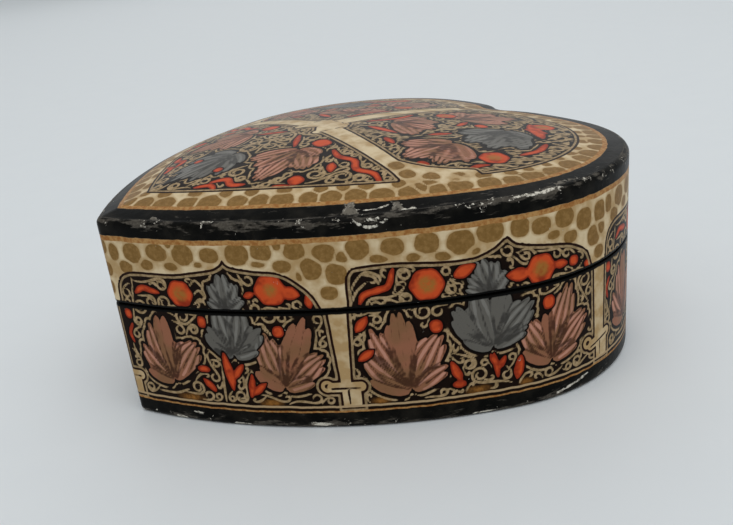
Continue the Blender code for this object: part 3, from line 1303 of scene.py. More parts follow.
@dataclass(frozen=True)
class Patch:
    """A flat cream field inside an outline."""

    outline: tuple[tuple[float, float], ...]

    def apply(self, window: Window) -> None:
        """Paints it."""
        path = np.array(self.outline + self.outline[:1])
        middle, reach = extent(path)
        places = window.near(middle[0], middle[1], reach + 2.0)
        u, v = window.u[places], window.v[places]
        distance, _ = path_distance(u, v, path)
        crossings = np.zeros(len(places), int)
        for (first_u, first_v), (last_u, last_v) in zip(path[:-1], path[1:]):
            between = (first_v > v) != (last_v > v)
            rise = last_v - first_v if last_v != first_v else 1e-9
            crossings += between & (u < first_u + (v - first_v) * (last_u - first_u) / rise)
        window.lay(Coat.CREAM, places, np.where(crossings % 2 == 1, -distance, distance))


@dataclass
class DomePainter:
    """Paints the domed top on its plan: a spotted border, three columns and three fields of leaves."""

    inner: float = 8.2
    vine_width: float = 0.5
    bar_half: float = 2.6
    bar_thick: float = 0.85
    rows: tuple[tuple[float, float, float, float], ...] = ((5.35, 1.95, 2.0, 0.4), (7.9, 1.25, 4.2, 2.5))
    rows_end: float = 143.0

    def apply(self, canvas: Canvas, inset: np.ndarray, around: np.ndarray) -> None:
        """Paints the top.

        Args:
            canvas: Points of the plan, in millimetres, folded at the axis.
            inset: Distance of each from the rim's outline, in millimetres.
            around: Distance of its nearest rim point from the tip, in millimetres.
        """
        window = canvas.whole()
        window.lay(Coat.CREAM, window.chosen, inset - self.inner)
        sheet = Sheet((0.0, -36.0), (40.0, 36.0))
        self.spots(window, inset, around)
        for surface in (window, sheet.window):
            self.ground(surface)
            for motif in self.motifs():
                motif.apply(surface)
        edge = search_tree(np.stack([window.u, window.v], axis=1))
        depth = np.array([inset[edge.find((u, v, 0.0))[1]]
                          for u, v in zip(sheet.window.u, sheet.window.v)])
        room = np.minimum(sheet.room(), depth - self.inner - FRAME_MARGIN)
        vines = VineWork(51, smallest=0.62, largest=1.9).grow(sheet, room)
        for vine in vines:
            window.line(Coat.SCROLL, vine, self.vine_width, 0.5)
        LOG.info("dome: %d vines", len(vines))

    def ground(self, window: Window) -> None:
        """Paints the cream columns and the bracket where one meets the border."""
        self.column(window, (3.2, -1.9), (27.5, -3.7), 1.9, 1.3)
        self.column(window, (0.0, 1.4), (0.0, 34.0), 1.9, 1.4)
        Patch(((24.2, -4.6), (24.4, -2.3), (26.8, -1.2), (29.4, 0.2), (32.0, 2.6), (34.6, 5.6), (40.0, 5.0),
               (40.0, -8.0), (34.0, -8.0), (30.0, -5.4))).apply(window)
        Patch(((0.0, -2.6), (2.4, -4.2), (4.4, -3.9), (4.6, 0.6), (2.6, 2.4), (0.0, 3.2))).apply(window)

    def column(self, window: Window, foot: tuple[float, float], head: tuple[float, float],
               low_half: float, top_half: float) -> None:
        """Paints a column with its foot at the middle of the dome.

        Args:
            window: The whole top.
            foot: Where it stands.
            head: Where it meets the border.
            low_half: Half its width at the foot.
            top_half: Half its width at the head.
        """
        direction = math.degrees(math.atan2(head[1] - foot[1], head[0] - foot[0]))
        length = math.hypot(head[0] - foot[0], head[1] - foot[1])
        along, across = turned(window.u, window.v, foot, direction)
        half = low_half + (top_half - low_half) * np.clip(along / length, 0.0, 1.0)
        shaft = np.maximum(np.abs(across) - half, np.maximum(-along, along - length))
        bar = np.hypot(np.maximum(np.abs(across) - self.bar_half, 0.0), along - 0.3) - self.bar_thick
        places = np.arange(len(window.u))
        window.lay(Coat.CREAM, places, np.minimum(shaft, bar))
        line = np.hypot(np.maximum(np.abs(across) - 2.4, 0.0), along - 0.7) - 0.17
        window.lay(Coat.INK, places, line)

    def spots(self, window: Window, inset: np.ndarray, around: np.ndarray) -> None:
        """Dabs the border with spots, a row against the band and smaller ones between.

        Args:
            window: The whole top.
            inset: Distance from the rim's outline.
            around: Distance from the tip along the rim.
        """
        rng = np.random.default_rng(7)
        places = np.arange(len(window.u))
        for deep, size, start, space in self.rows:
            place = start
            while place < self.rows_end:
                wide = size * rng.uniform(0.85, 1.2)
                tall = size * rng.uniform(0.8, 1.0)
                depth = deep + rng.uniform(-0.3, 0.3)
                apart = np.hypot((around - place) / wide, (inset - depth) / tall)
                window.lay(Coat.SPOT, places, (apart - 1.0) * min(wide, tall))
                place += wide * 2.0 + rng.uniform(0.5, 1.5) * space
        for u, v in ((32.4, -1.2), (29.4, -3.6), (26.0, -3.3), (35.0, 2.4), (34.0, -4.6), (0.0, 31.0)):
            Spot(u, v, 1.4, 1.25).apply(window)
        window.canvas.part_spots()

    def motifs(self) -> tuple[Any, ...]:
        """The leaves and flowers of the right half, which the left half repeats."""
        return (
            Leaf(9.2, -11.4, Coat.BROWN, (Lobe(5.6, -19.2, 4.4, 0.5, 4), Lobe(9.6, -20.6, 3.2, 0.3, 2),
                                          Lobe(13.8, -22.6, 4.6, 0.6, 5), Lobe(16.9, -15.2, 5.2, 0.6, 5),
                                          Lobe(14.4, -10.8, 3.6, 0.5, 3))),
            Leaf(23.6, 9.8, Coat.BROWN, (Lobe(19.0, 2.4, 4.6, 0.5, 5), Lobe(24.2, -0.6, 5.0, 0.3, 5),
                                         Lobe(29.6, 2.2, 5.0, 0.5, 5), Lobe(31.8, 6.4, 4.0, 0.4, 3),
                                         Lobe(20.0, 6.6, 3.2, 0.3, 2))),
            Leaf(22.0, 22.6, Coat.GREY, (Lobe(19.6, 14.2, 4.2, 0.4, 4), Lobe(24.4, 12.0, 4.4, 0.3, 4),
                                         Lobe(29.2, 13.4, 4.6, 0.5, 4), Lobe(32.2, 18.0, 4.4, 0.4, 4),
                                         Lobe(28.8, 22.4, 3.2, 0.4, 3))),
            Leaf(0.0, -19.4, Coat.GREY, (Lobe(0.0, -31.4, 3.4, 0.0, 3), Lobe(3.4, -29.4, 3.4, 0.3, 3),
                                         Lobe(5.8, -25.6, 3.6, 0.4, 3), Lobe(5.2, -21.4, 2.8, 0.3, 2))),
            Leaf(7.0, 9.4, Coat.BROWN, (Lobe(16.6, 7.4, 4.4, 0.4, 4), Lobe(15.4, 12.4, 4.6, 0.4, 4),
                                        Lobe(11.4, 16.4, 4.2, 0.3, 4), Lobe(6.6, 17.0, 3.4, 0.3, 3))),
            Leaf(11.0, 21.2, Coat.BROWN, (Lobe(4.6, 26.4, 4.2, 0.4, 4), Lobe(8.6, 31.2, 4.4, 0.3, 4),
                                          Lobe(14.0, 32.2, 4.4, 0.4, 4), Lobe(17.8, 27.0, 4.2, 0.4, 4))),
            Flower(32.6, 11.2, 2.4, 0.9), Flower(7.0, 21.0, 1.9, 0.7), Flower(22.4, 30.8, 2.2, 0.9),
            Bud(9.6, -7.2, 1.8, 1.6), Bud(19.1, -17.8, 1.4, 1.3),
            Bud(28.2, 0.2, 1.2, 1.1), Bud(4.2, -24.4, 0.8, 0.8),
            Squiggle(((14.0, -7.6), (17.0, -8.4), (20.0, -7.4), (23.0, -8.8), (26.0, -7.6), (29.4, -8.6)),
                     1.3),
            Petal(18.2, -10.4, -38.0, 3.6, 1.6), Petal(2.0, -7.2, -40.0, 7.2, 1.2, 0.3),
            Squiggle(((7.6, -27.4), (9.2, -25.2), (11.6, -25.6), (13.4, -24.2)), 1.3),
            Squiggle(((6.6, -30.0), (8.4, -28.0), (10.6, -28.2)), 1.1), Petal(17.6, -21.6, 40.0, 4.2, 1.3),
            Squiggle(((34.4, 8.6), (33.8, 6.6), (34.2, 4.6), (33.0, 2.8)), 1.2),
            Squiggle(((31.6, 23.4), (33.8, 19.6), (34.0, 15.6)), 1.2),
            Petal(19.4, 30.4, -32.0, 11.5, 2.6, 0.6), Petal(6.6, 4.0, 12.0, 7.4, 1.5),
            Petal(14.4, 2.4, -10.0, 4.0, 1.3), Squiggle(((3.4, 6.0), (4.6, 11.6), (3.4, 16.0)), 1.1),
            Bud(17.4, 20.9, 1.3, 1.1), Petal(15.6, 17.0, 118.0, 4.4, 1.4),
            Petal(17.6, 9.0, 70.0, 4.6, 1.4), Petal(22.2, 26.6, 20.0, 5.0, 1.6),
        )


# Finishes


@dataclass(frozen=True)
class BandLine:
    """A painted line that runs along a black band, and how much the cream beside it is darkened as painted
    shade.
    """

    middle: float
    half: float
    cream_shade: float = 0.0


class Brushwork:
    """The coordinates and noises that all parts of the painted finish share."""

    def __init__(self, graph: Graph) -> None:
        """Makes the shared nodes."""
        self.graph = graph
        self.coords = graph.node("ShaderNodeTexCoord", None, None, "Object")
        self.hand = (graph.noise(self.coords, 800.0, 2.0) - 0.5) * 0.3
        self.mottle = graph.noise(self.coords, 260.0, 3.0, 0.6)
        self.brush = graph.noise(self.coords, 1300.0, 3.0, 0.65)
        self.fine = graph.noise(self.coords, 2600.0, 2.0, 0.6)

    def mask(self, coat: Coat, soft: float = 0.06) -> Value:
        """Where a layer is painted, with a hand-drawn edge."""
        return 1.0 - (self.graph.attribute(coat.value) + self.hand).step(-soft, soft)


@dataclass(frozen=True)
class PaintedLacquer:
    """Black lacquered paper with painted ornament under an aged varnish."""

    ground: Colour = pigment(10, 5, 3)
    ground_warm: Colour = pigment(30, 17, 10)
    band: Colour = pigment(8, 8, 7)
    band_worn: Colour = pigment(30, 28, 24)
    cream: Colour = pigment(214, 194, 158)
    # Darker cream: the cream's own uneven ageing, and on the tray also painted shade
    cream_aged_and_shaded: Colour = pigment(176, 146, 102)
    spot: Colour = pigment(124, 93, 49)
    spot_light: Colour = pigment(146, 113, 66)
    scroll: Colour = pigment(178, 152, 116)
    scroll_dim: Colour = pigment(136, 114, 80)
    brown: Colour = pigment(148, 98, 74)
    brown_light: Colour = pigment(194, 140, 120)
    brown_dark: Colour = pigment(46, 22, 14)
    brown_dull: Colour = pigment(132, 94, 66)
    grey: Colour = pigment(99, 96, 90)
    grey_light: Colour = pigment(136, 134, 128)
    grey_dark: Colour = pigment(46, 44, 42)
    orange: Colour = pigment(200, 78, 38)
    orange_deep: Colour = pigment(142, 46, 24)
    ochre: Colour = pigment(158, 106, 48)
    gold: Colour = pigment(178, 136, 84)
    gold_deep: Colour = pigment(150, 100, 52)
    chip_light: Colour = pigment(222, 216, 202)
    chip_dark: Colour = pigment(92, 86, 78)
    # Grey of the smears in the black band, which along the rim's edge are a painted highlight
    smear_and_sheen: Colour = pigment(116, 110, 100)
    roughness: float = 0.36
    index: float = 1.11
    coat: float = 0.15
    coat_index: float = 1.14
    coat_roughness: float = 0.2

    def material(self, name: str, line: BandLine) -> bpy.types.Material:
        """Builds the painted material, which reads the layers that the painters wrote.

        Args:
            name: Name of the material.
            line: The painted line along the band.

        Returns:
            The material.
        """
        made = bpy.data.materials.new(name)
        made.use_nodes = True
        graph = Graph(made.node_tree)
        shader = made.node_tree.nodes["Principled BSDF"]
        work = Brushwork(graph)
        colour, in_band = self.banded(work, self.picture(work, line.cream_shade), line)
        colour, smear_and_sheen, fleck, flake = self.worn(work, colour, in_band)
        graph.feed(shader.inputs["Base Color"], colour)
        haze = graph.noise(work.coords, 150.0, 3.0, 0.6)
        rough = self.roughness + (haze - 0.5) * 0.2 + (work.fine - 0.5) * 0.1 + smear_and_sheen * 0.12 + flake * 0.25
        graph.feed(shader.inputs["Roughness"], rough.clamped())
        relief = graph.noise(work.coords, 340.0, 3.0, 0.55) + work.brush * 0.25
        relief = relief - fleck * 0.4 - flake * 0.9 - smear_and_sheen * 0.3
        bump = graph.node("ShaderNodeBump", None, {"Strength": 0.5, "Distance": 0.00016, "Height": relief})
        graph.feed(shader.inputs["Normal"], bump)
        shader.inputs["IOR"].default_value = self.index
        shader.inputs["Coat Weight"].default_value = self.coat
        shader.inputs["Coat IOR"].default_value = self.coat_index
        shader.inputs["Coat Roughness"].default_value = self.coat_roughness
        return made

    def banded(self, work: Brushwork, colour: Value, line: BandLine) -> tuple[Value, Value]:
        """Adds the gold lines, the black band and the dark seam, which is black edge paint widened as painted
        shade of the gap.

        Args:
            work: The shared noises.
            colour: Colour of the painted ornament.
            line: The painted line along the band.

        Returns:
            The colour, and 1 where the black band is.
        """
        graph = work.graph
        band = graph.attribute("band")
        along = graph.attribute("along")
        wobble = graph.noise(graph.combine(along * 0.35, band * 0.2, 0.0), 1.0, 3.0) - 0.5
        edge_of_band = band + wobble * 0.5 + work.hand * 0.4
        gold = graph.mix(work.brush.step(0.35, 0.65), self.gold, self.gold_deep)
        stroke = 1.0 - (edge_of_band - line.middle).size().step(line.half - 0.07, line.half + 0.07)
        colour = graph.mix(stroke, colour, gold)
        second = graph.attribute("second_line") + wobble * 0.4
        colour = graph.mix(1.0 - second.size().step(0.12, 0.26), colour, self.scroll)
        in_band = 1.0 - edge_of_band.step(-0.06, 0.06)
        black = graph.mix(work.mottle.step(0.4, 0.75), self.band, self.band_worn)
        colour = graph.mix(in_band, colour, black)
        # Dark seam: black paint on both edges, widened as painted shade of the gap between lid and base
        gap = graph.attribute("gap") + work.hand * 0.8
        return graph.mix(1.0 - gap.step(0.36, 0.56), colour, self.band), in_band

    def worn(self, work: Brushwork, colour: Value, in_band: Value) -> tuple[Value, Value, Value, Value]:
        """Adds the smears, which along the rim's edge are a painted highlight, and the flecks, flakes and
        scratches.

        Args:
            work: The shared noises.
            colour: Colour so far.
            in_band: 1 where the black band is.

        Returns:
            The colour, and how much there is of smears and painted highlight, flecks and flakes.
        """
        graph, fine, brush = work.graph, work.fine, work.brush
        along, band, edge = graph.attribute("along"), graph.attribute("band"), graph.attribute("edge")
        streak = graph.noise(graph.combine(along * 0.22, edge * 0.9, band * 0.3), 1.0, 5.0, 0.66)
        near_edge = 1.0 - edge.step(0.2, 2.4)
        # Grey smears of worn lacquer in the black band, drawn stronger along the rim's edge as a painted
        # highlight of the varnish
        smear_and_sheen = (streak + near_edge * 0.15).step(0.62, 0.74) * in_band
        smear_and_sheen_colour = graph.mix(fine.step(0.4, 0.65), self.chip_dark, self.smear_and_sheen)
        colour = graph.mix(smear_and_sheen * 0.55, colour, smear_and_sheen_colour)
        fleck_noise = graph.noise(work.coords, 620.0, 5.0, 0.7, 0.5)
        fleck = (fleck_noise + near_edge * 0.1 * in_band).step(0.7, 0.72)
        bare = graph.mix(fine.step(0.42, 0.6), self.chip_dark, self.chip_light)
        colour = graph.mix(fleck * 0.85, colour, bare)
        ragged = (fleck_noise - 0.5) * 3.4 + (graph.noise(work.coords, 240.0, 2.0) - 0.5) * 2.0
        torn = graph.attribute(Coat.CHIP.value) + ragged
        flake = 1.0 - torn.step(-0.06, 0.06)
        torn_ground = graph.mix(edge.step(0.9, 1.5) * brush.step(0.3, 0.5), self.band_worn, self.smear_and_sheen)
        colour = graph.mix(flake * 0.85, colour, torn_ground)
        rim = flake * torn.step(-0.26, -0.16) * brush.step(0.5, 0.56) * 0.6
        scar = 1.0 - (graph.attribute(Coat.SCAR.value) + (fleck_noise - 0.46) * 0.9).step(-0.04, 0.06)
        pale = graph.mix(brush.step(0.46, 0.66), self.chip_light, self.smear_and_sheen)
        return graph.mix(rim.most(scar) * 0.95, colour, pale), smear_and_sheen, fleck, flake

    def lined(self, work: Brushwork, under: Value, coat: Coat, paint: Value, inner: float,
              outer: float) -> Value:
        """Lays a paint with a dark line round it that fades from inner to outer."""
        reach = work.graph.attribute(coat.value) + work.hand
        dark = work.graph.mix(1.0 - reach.step(inner, outer), under, self.ground)
        return work.graph.mix(work.mask(coat), dark, paint)

    def picture(self, work: Brushwork, cream_shade: float) -> Value:
        """Colour of the painted ornament.

        Args:
            work: The shared noises.
            cream_shade: How much more the cream is darkened, as painted shade.

        Returns:
            The colour.
        """
        graph, hand, mottle, brush = work.graph, work.hand, work.mottle, work.brush
        colour = graph.mix(mottle, self.ground, self.ground_warm)
        scroll = graph.mix(brush.step(0.3, 0.7), self.scroll, self.scroll_dim)
        vine = 1.0 - (graph.attribute(Coat.SCROLL.value) + hand * 0.45).step(-0.06, 0.06)
        colour = graph.mix(vine, colour, scroll)
        vein, crease = work.mask(Coat.VEIN, 0.09), work.mask(Coat.CREASE, 0.1)
        patchy = graph.noise(work.coords, 190.0, 2.0)
        brown = graph.mix(patchy.step(0.4, 0.62), self.brown, self.brown_dull)
        brown = graph.mix(vein * (0.5 + 0.4 * patchy.step(0.6, 0.42)), brown, self.brown_light)
        brown = graph.mix(crease * 0.8, brown, self.brown_dark)
        colour = self.lined(work, colour, Coat.BROWN, brown, 0.2, 0.42)
        grey = graph.mix(vein * patchy.step(0.3, 0.6) * 0.6, self.grey, self.grey_light)
        grey = graph.mix(crease * 0.75, grey, self.grey_dark)
        colour = self.lined(work, colour, Coat.GREY, grey, 0.2, 0.42)
        blush = graph.noise(work.coords, 420.0, 2.0).step(0.45, 0.7)
        orange = graph.mix(blush, self.orange, self.orange_deep)
        rim = graph.attribute(Coat.ORANGE.value) + hand
        orange = graph.mix(rim.step(-0.4, -0.1), orange, self.orange_deep)
        colour = self.lined(work, colour, Coat.ORANGE, orange, 0.16, 0.36)
        heart = work.mask(Coat.OCHRE, 0.55) * (0.45 + 0.55 * brush.step(0.3, 0.6))
        colour = graph.mix(heart, colour, self.ochre)
        cream_edge = graph.attribute(Coat.CREAM.value) + hand * 0.5
        outline = 1.0 - (cream_edge - 0.6).size().step(0.14, 0.26)
        colour = graph.mix(outline * 0.9, colour, scroll)
        ink = graph.mix(brush, self.ground, self.brown_dark)
        colour = graph.mix(1.0 - (cream_edge - 0.18).size().step(0.16, 0.28), colour, ink)
        # The mottle is the cream's own uneven ageing; on the tray the cream is darkened further as painted
        # shade, for a lower wall that gets less light from above
        cream = graph.mix((mottle.step(0.35, 0.7) + cream_shade).clamped(), self.cream, self.cream_aged_and_shaded)
        spot_edge = graph.attribute(Coat.SPOT.value) + hand
        cream = graph.mix(0.7 - 0.7 * spot_edge.step(0.0, 0.4), cream, self.cream_aged_and_shaded)
        spot = graph.mix(brush.step(0.35, 0.75), self.spot, self.spot_light)
        cream = graph.mix(1.0 - spot_edge.step(-0.08, 0.08), cream, spot)
        cream = graph.mix(work.mask(Coat.INK), cream, ink)
        return graph.mix(1.0 - cream_edge.step(-0.05, 0.05), colour, cream)


@dataclass(frozen=True)
class StudioPaper:
    """Plain pale paper of the studio floor."""

    tone: Colour = pigment(228, 232, 234)
    shade: Colour = pigment(214, 219, 224)
    roughness: float = 0.75

    def material(self) -> bpy.types.Material:
        """Builds the paper."""
        made = bpy.data.materials.new("studio_paper")
        made.use_nodes = True
        graph = Graph(made.node_tree)
        shader = made.node_tree.nodes["Principled BSDF"]
        coords = graph.node("ShaderNodeTexCoord", None, None, "Object")
        grain = graph.noise(coords, 90.0, 3.0)
        graph.feed(shader.inputs["Base Color"], graph.mix(grain * 0.2, self.tone, self.shade))
        bump = graph.node("ShaderNodeBump", None, {"Strength": 0.05, "Distance": 0.0002, "Height": grain})
        graph.feed(shader.inputs["Normal"], bump)
        shader.inputs["Roughness"].default_value = self.roughness
        return made


# Sub-assemblies

# Where no line or edge is near, in millimetres: deep in the black, and away from an edge
IN_BAND = -5.0
NO_EDGE = 3.0


@dataclass
class PaintedShell:
    """What the tray and the lid share: a lofted body and the paint on its wall."""

    plan: HeartPlan
    dome: DomeShape
    shape: WallShape
    finish: PaintedLacquer
    walls: WallPainter
    smooth_below: float = math.radians(35.0)

    def points(self, piece: bpy.types.Object) -> np.ndarray:
        """Positions of the points of a piece, in metres."""
        flat = np.empty(len(piece.data.vertices) * 3, np.float32)
        piece.data.vertices.foreach_get("co", flat)
        return flat.reshape(-1, 3).astype(float)

    def mark(self, piece: bpy.types.Object, name: str) -> np.ndarray:
        """One of the marks that the tree left on a piece."""
        held = np.empty(len(piece.data.vertices), np.float32)
        piece.data.attributes[name].data.foreach_get("value", held)
        return held.astype(float)

    def write(self, piece: bpy.types.Object, name: str, numbers: np.ndarray) -> None:
        """Stores a float attribute on a piece."""
        written = piece.data.attributes.new(name, "FLOAT", "POINT")
        written.data.foreach_set("value", numbers.astype(np.float32))

    def folded(self, around: np.ndarray, height: np.ndarray) -> tuple[np.ndarray, np.ndarray]:
        """Wall places measured from the tip on both sides, the hidden side a little different by hand."""
        whole = 2.0 * self.plan.half_length() / MM
        along = around * whole
        hidden = np.clip((along - whole / 2.0) / 6.0, 0.0, 1.0) * np.clip((whole - along) / 6.0, 0.0, 1.0)
        sway = 0.5 * np.sin(along * 0.21 + 0.7) + 0.3 * np.sin(along * 0.53)
        lift = 0.18 * np.sin(along * 0.34 + 1.3)
        return np.minimum(along, whole - along) + hidden * sway, height + hidden * lift

    def write_paint(self, piece: bpy.types.Object,
                    parts: Sequence[tuple[np.ndarray, Canvas]]) -> None:
        """Stores every layer of paint on a piece."""
        for coat in Coat:
            numbers = np.full(len(piece.data.vertices), FAR)
            for chosen, canvas in parts:
                numbers[chosen] = canvas.paint[coat]
            self.write(piece, coat.value, numbers)

    def scar(self, canvas: Canvas, worn: np.ndarray, scars: Sequence[Squiggle]) -> None:
        """Scratches the lacquer down to the pale ground on the worn side."""
        window = canvas.window(np.flatnonzero(worn), 0.0, 1.0)
        for one in scars:
            one.apply(window)

    def close(self, piece: bpy.types.Object) -> None:
        """Drops the tree's own marks and makes the surface smooth but for its true edges."""
        for name in ("around", "level", "top"):
            piece.data.attributes.remove(piece.data.attributes[name])
        piece.data.shade_smooth()
        piece.data.set_sharp_from_angle(angle=self.smooth_below)

    def hand_over(self, piece: bpy.types.Object, node: str, slot: str) -> None:
        """Lets a piece ride on the body and stand for its CAD node."""
        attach(piece, "root")
        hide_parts(node)
        LOG.info("%s: %d points, %d faces", piece.name, len(piece.data.vertices), len(piece.data.polygons))


@dataclass
class Tray(PaintedShell):
    """Base: rounded foot, leaning painted wall, seam ledge, collar and lacquered inside."""

    columns: int = 1000
    floor: float = 0.0026
    foot_edge: float = 0.0008
    floor_edge: float = 0.0008
    collar_edge: float = 0.00035
    clearance: float = 0.00035
    collar_thickness: float = 0.0014
    collar_rise: float = 0.0050
    collar_depth: float = 0.0060
    worn_edge: float = 0.00025
    band_height: float = 0.0030
    foot_steps: int = 4
    band_rows: int = 6
    picture_rows: int = 68
    band_top: float = 2.9
    second_line: float = 3.95
    scars: tuple[Squiggle, ...] = (
        Scratch(((33.6, 1.0), (35.4, 0.8), (37.4, 0.7)), 0.6),
        Scratch(((12.4, 1.9), (14.8, 1.7)), 0.4),
        Scratch(((8.0, 0.6), (10.6, 0.4)), 0.5),
        Scratch(((74.5, 0.9), (78.2, 1.5), (81.8, 2.3)), 0.4),
        Scratch(((20.0, 0.5), (23.0, 0.4)), 0.35),
        Scratch(((60.0, 0.5), (64.0, 0.5)), 0.3),
    )

    def rows(self) -> list[ProfileRow]:
        """The profile from the middle of the underside, up the wall and down the inside."""
        shape = self.shape
        foot, seam = shape.inset(0.0), shape.inset(shape.seam_height)
        shoulder = seam + shape.wall + self.clearance
        collar_inside = shoulder + self.collar_thickness
        collar_top = shape.seam_height + self.collar_rise
        collar_foot = shape.seam_height - self.collar_depth
        wall_inside, floor_inside = seam + shape.wall, foot + shape.wall
        rows = [ProfileRow(foot + self.foot_edge, 0.0, 0.0)]
        for step in range(self.foot_steps + 1):
            angle = math.pi / 2 * step / self.foot_steps
            rows.append(ProfileRow(foot + self.foot_edge * (1.0 - math.sin(angle)),
                                   self.foot_edge * (1.0 - math.cos(angle))))
        top = shape.seam_height - self.worn_edge
        heights = list(np.linspace(self.foot_edge, self.band_height, self.band_rows + 1)[1:])
        heights += list(np.linspace(self.band_height, top, self.picture_rows + 1)[1:])
        rows += [ProfileRow(shape.inset(height), height) for height in heights]
        rows += [
            ProfileRow(seam + self.worn_edge * 0.3, shape.seam_height - self.worn_edge * 0.3),
            ProfileRow(seam + self.worn_edge, shape.seam_height),
            ProfileRow(shoulder, shape.seam_height),
            ProfileRow(shoulder, collar_top - self.collar_edge),
            ProfileRow(shoulder + self.collar_edge, collar_top),
            ProfileRow(collar_inside, collar_top),
            ProfileRow(collar_inside, collar_foot),
            ProfileRow(wall_inside, collar_foot - (collar_inside - wall_inside)),
            ProfileRow(floor_inside, self.floor + self.floor_edge),
            ProfileRow(floor_inside + self.floor_edge, self.floor),
            ProfileRow(floor_inside + self.floor_edge, self.floor, 0.0),
        ]
        return rows

    def build(self) -> bpy.types.Object:
        """Builds and paints the tray.

        Returns:
            The finished piece.
        """
        # The tray's cream is darkened further as painted shade
        material = self.finish.material("painted_tray", BandLine(0.16, 0.16, 0.35))
        tree = LoftTree("tray_loft", self.plan, self.dome, material, self.columns)
        rows = self.rows()
        piece = tree.build("painted_base", rows)
        place = self.points(piece) / MM
        level = np.rint(self.mark(piece, "level")).astype(int)
        outside = (level >= 1) & (level <= self.foot_steps + self.band_rows + self.picture_rows + 3)
        along, height = self.folded(self.mark(piece, "around"), place[:, 2])
        wall = np.flatnonzero(outside)
        canvas = Canvas(along[wall], height[wall])
        self.walls.apply(canvas, True)
        self.scar(canvas, place[wall, 0] > 0.0, self.scars)
        self.write_paint(piece, ((wall, canvas),))
        seam = self.shape.seam_height / MM
        self.write(piece, "band", np.where(outside, place[:, 2] - self.band_top, IN_BAND))
        self.write(piece, "second_line", np.where(outside, place[:, 2] - self.second_line, FAR))
        self.write(piece, "edge", np.where(outside, place[:, 2], NO_EDGE))
        # Distance from the seam, for the dark seam line that is partly painted shade of the gap
        self.write(piece, "gap", np.where(outside, seam - place[:, 2], NO_EDGE))
        self.write(piece, "along", along)
        self.close(piece)
        self.hand_over(piece, "base", "base_board")
        return piece


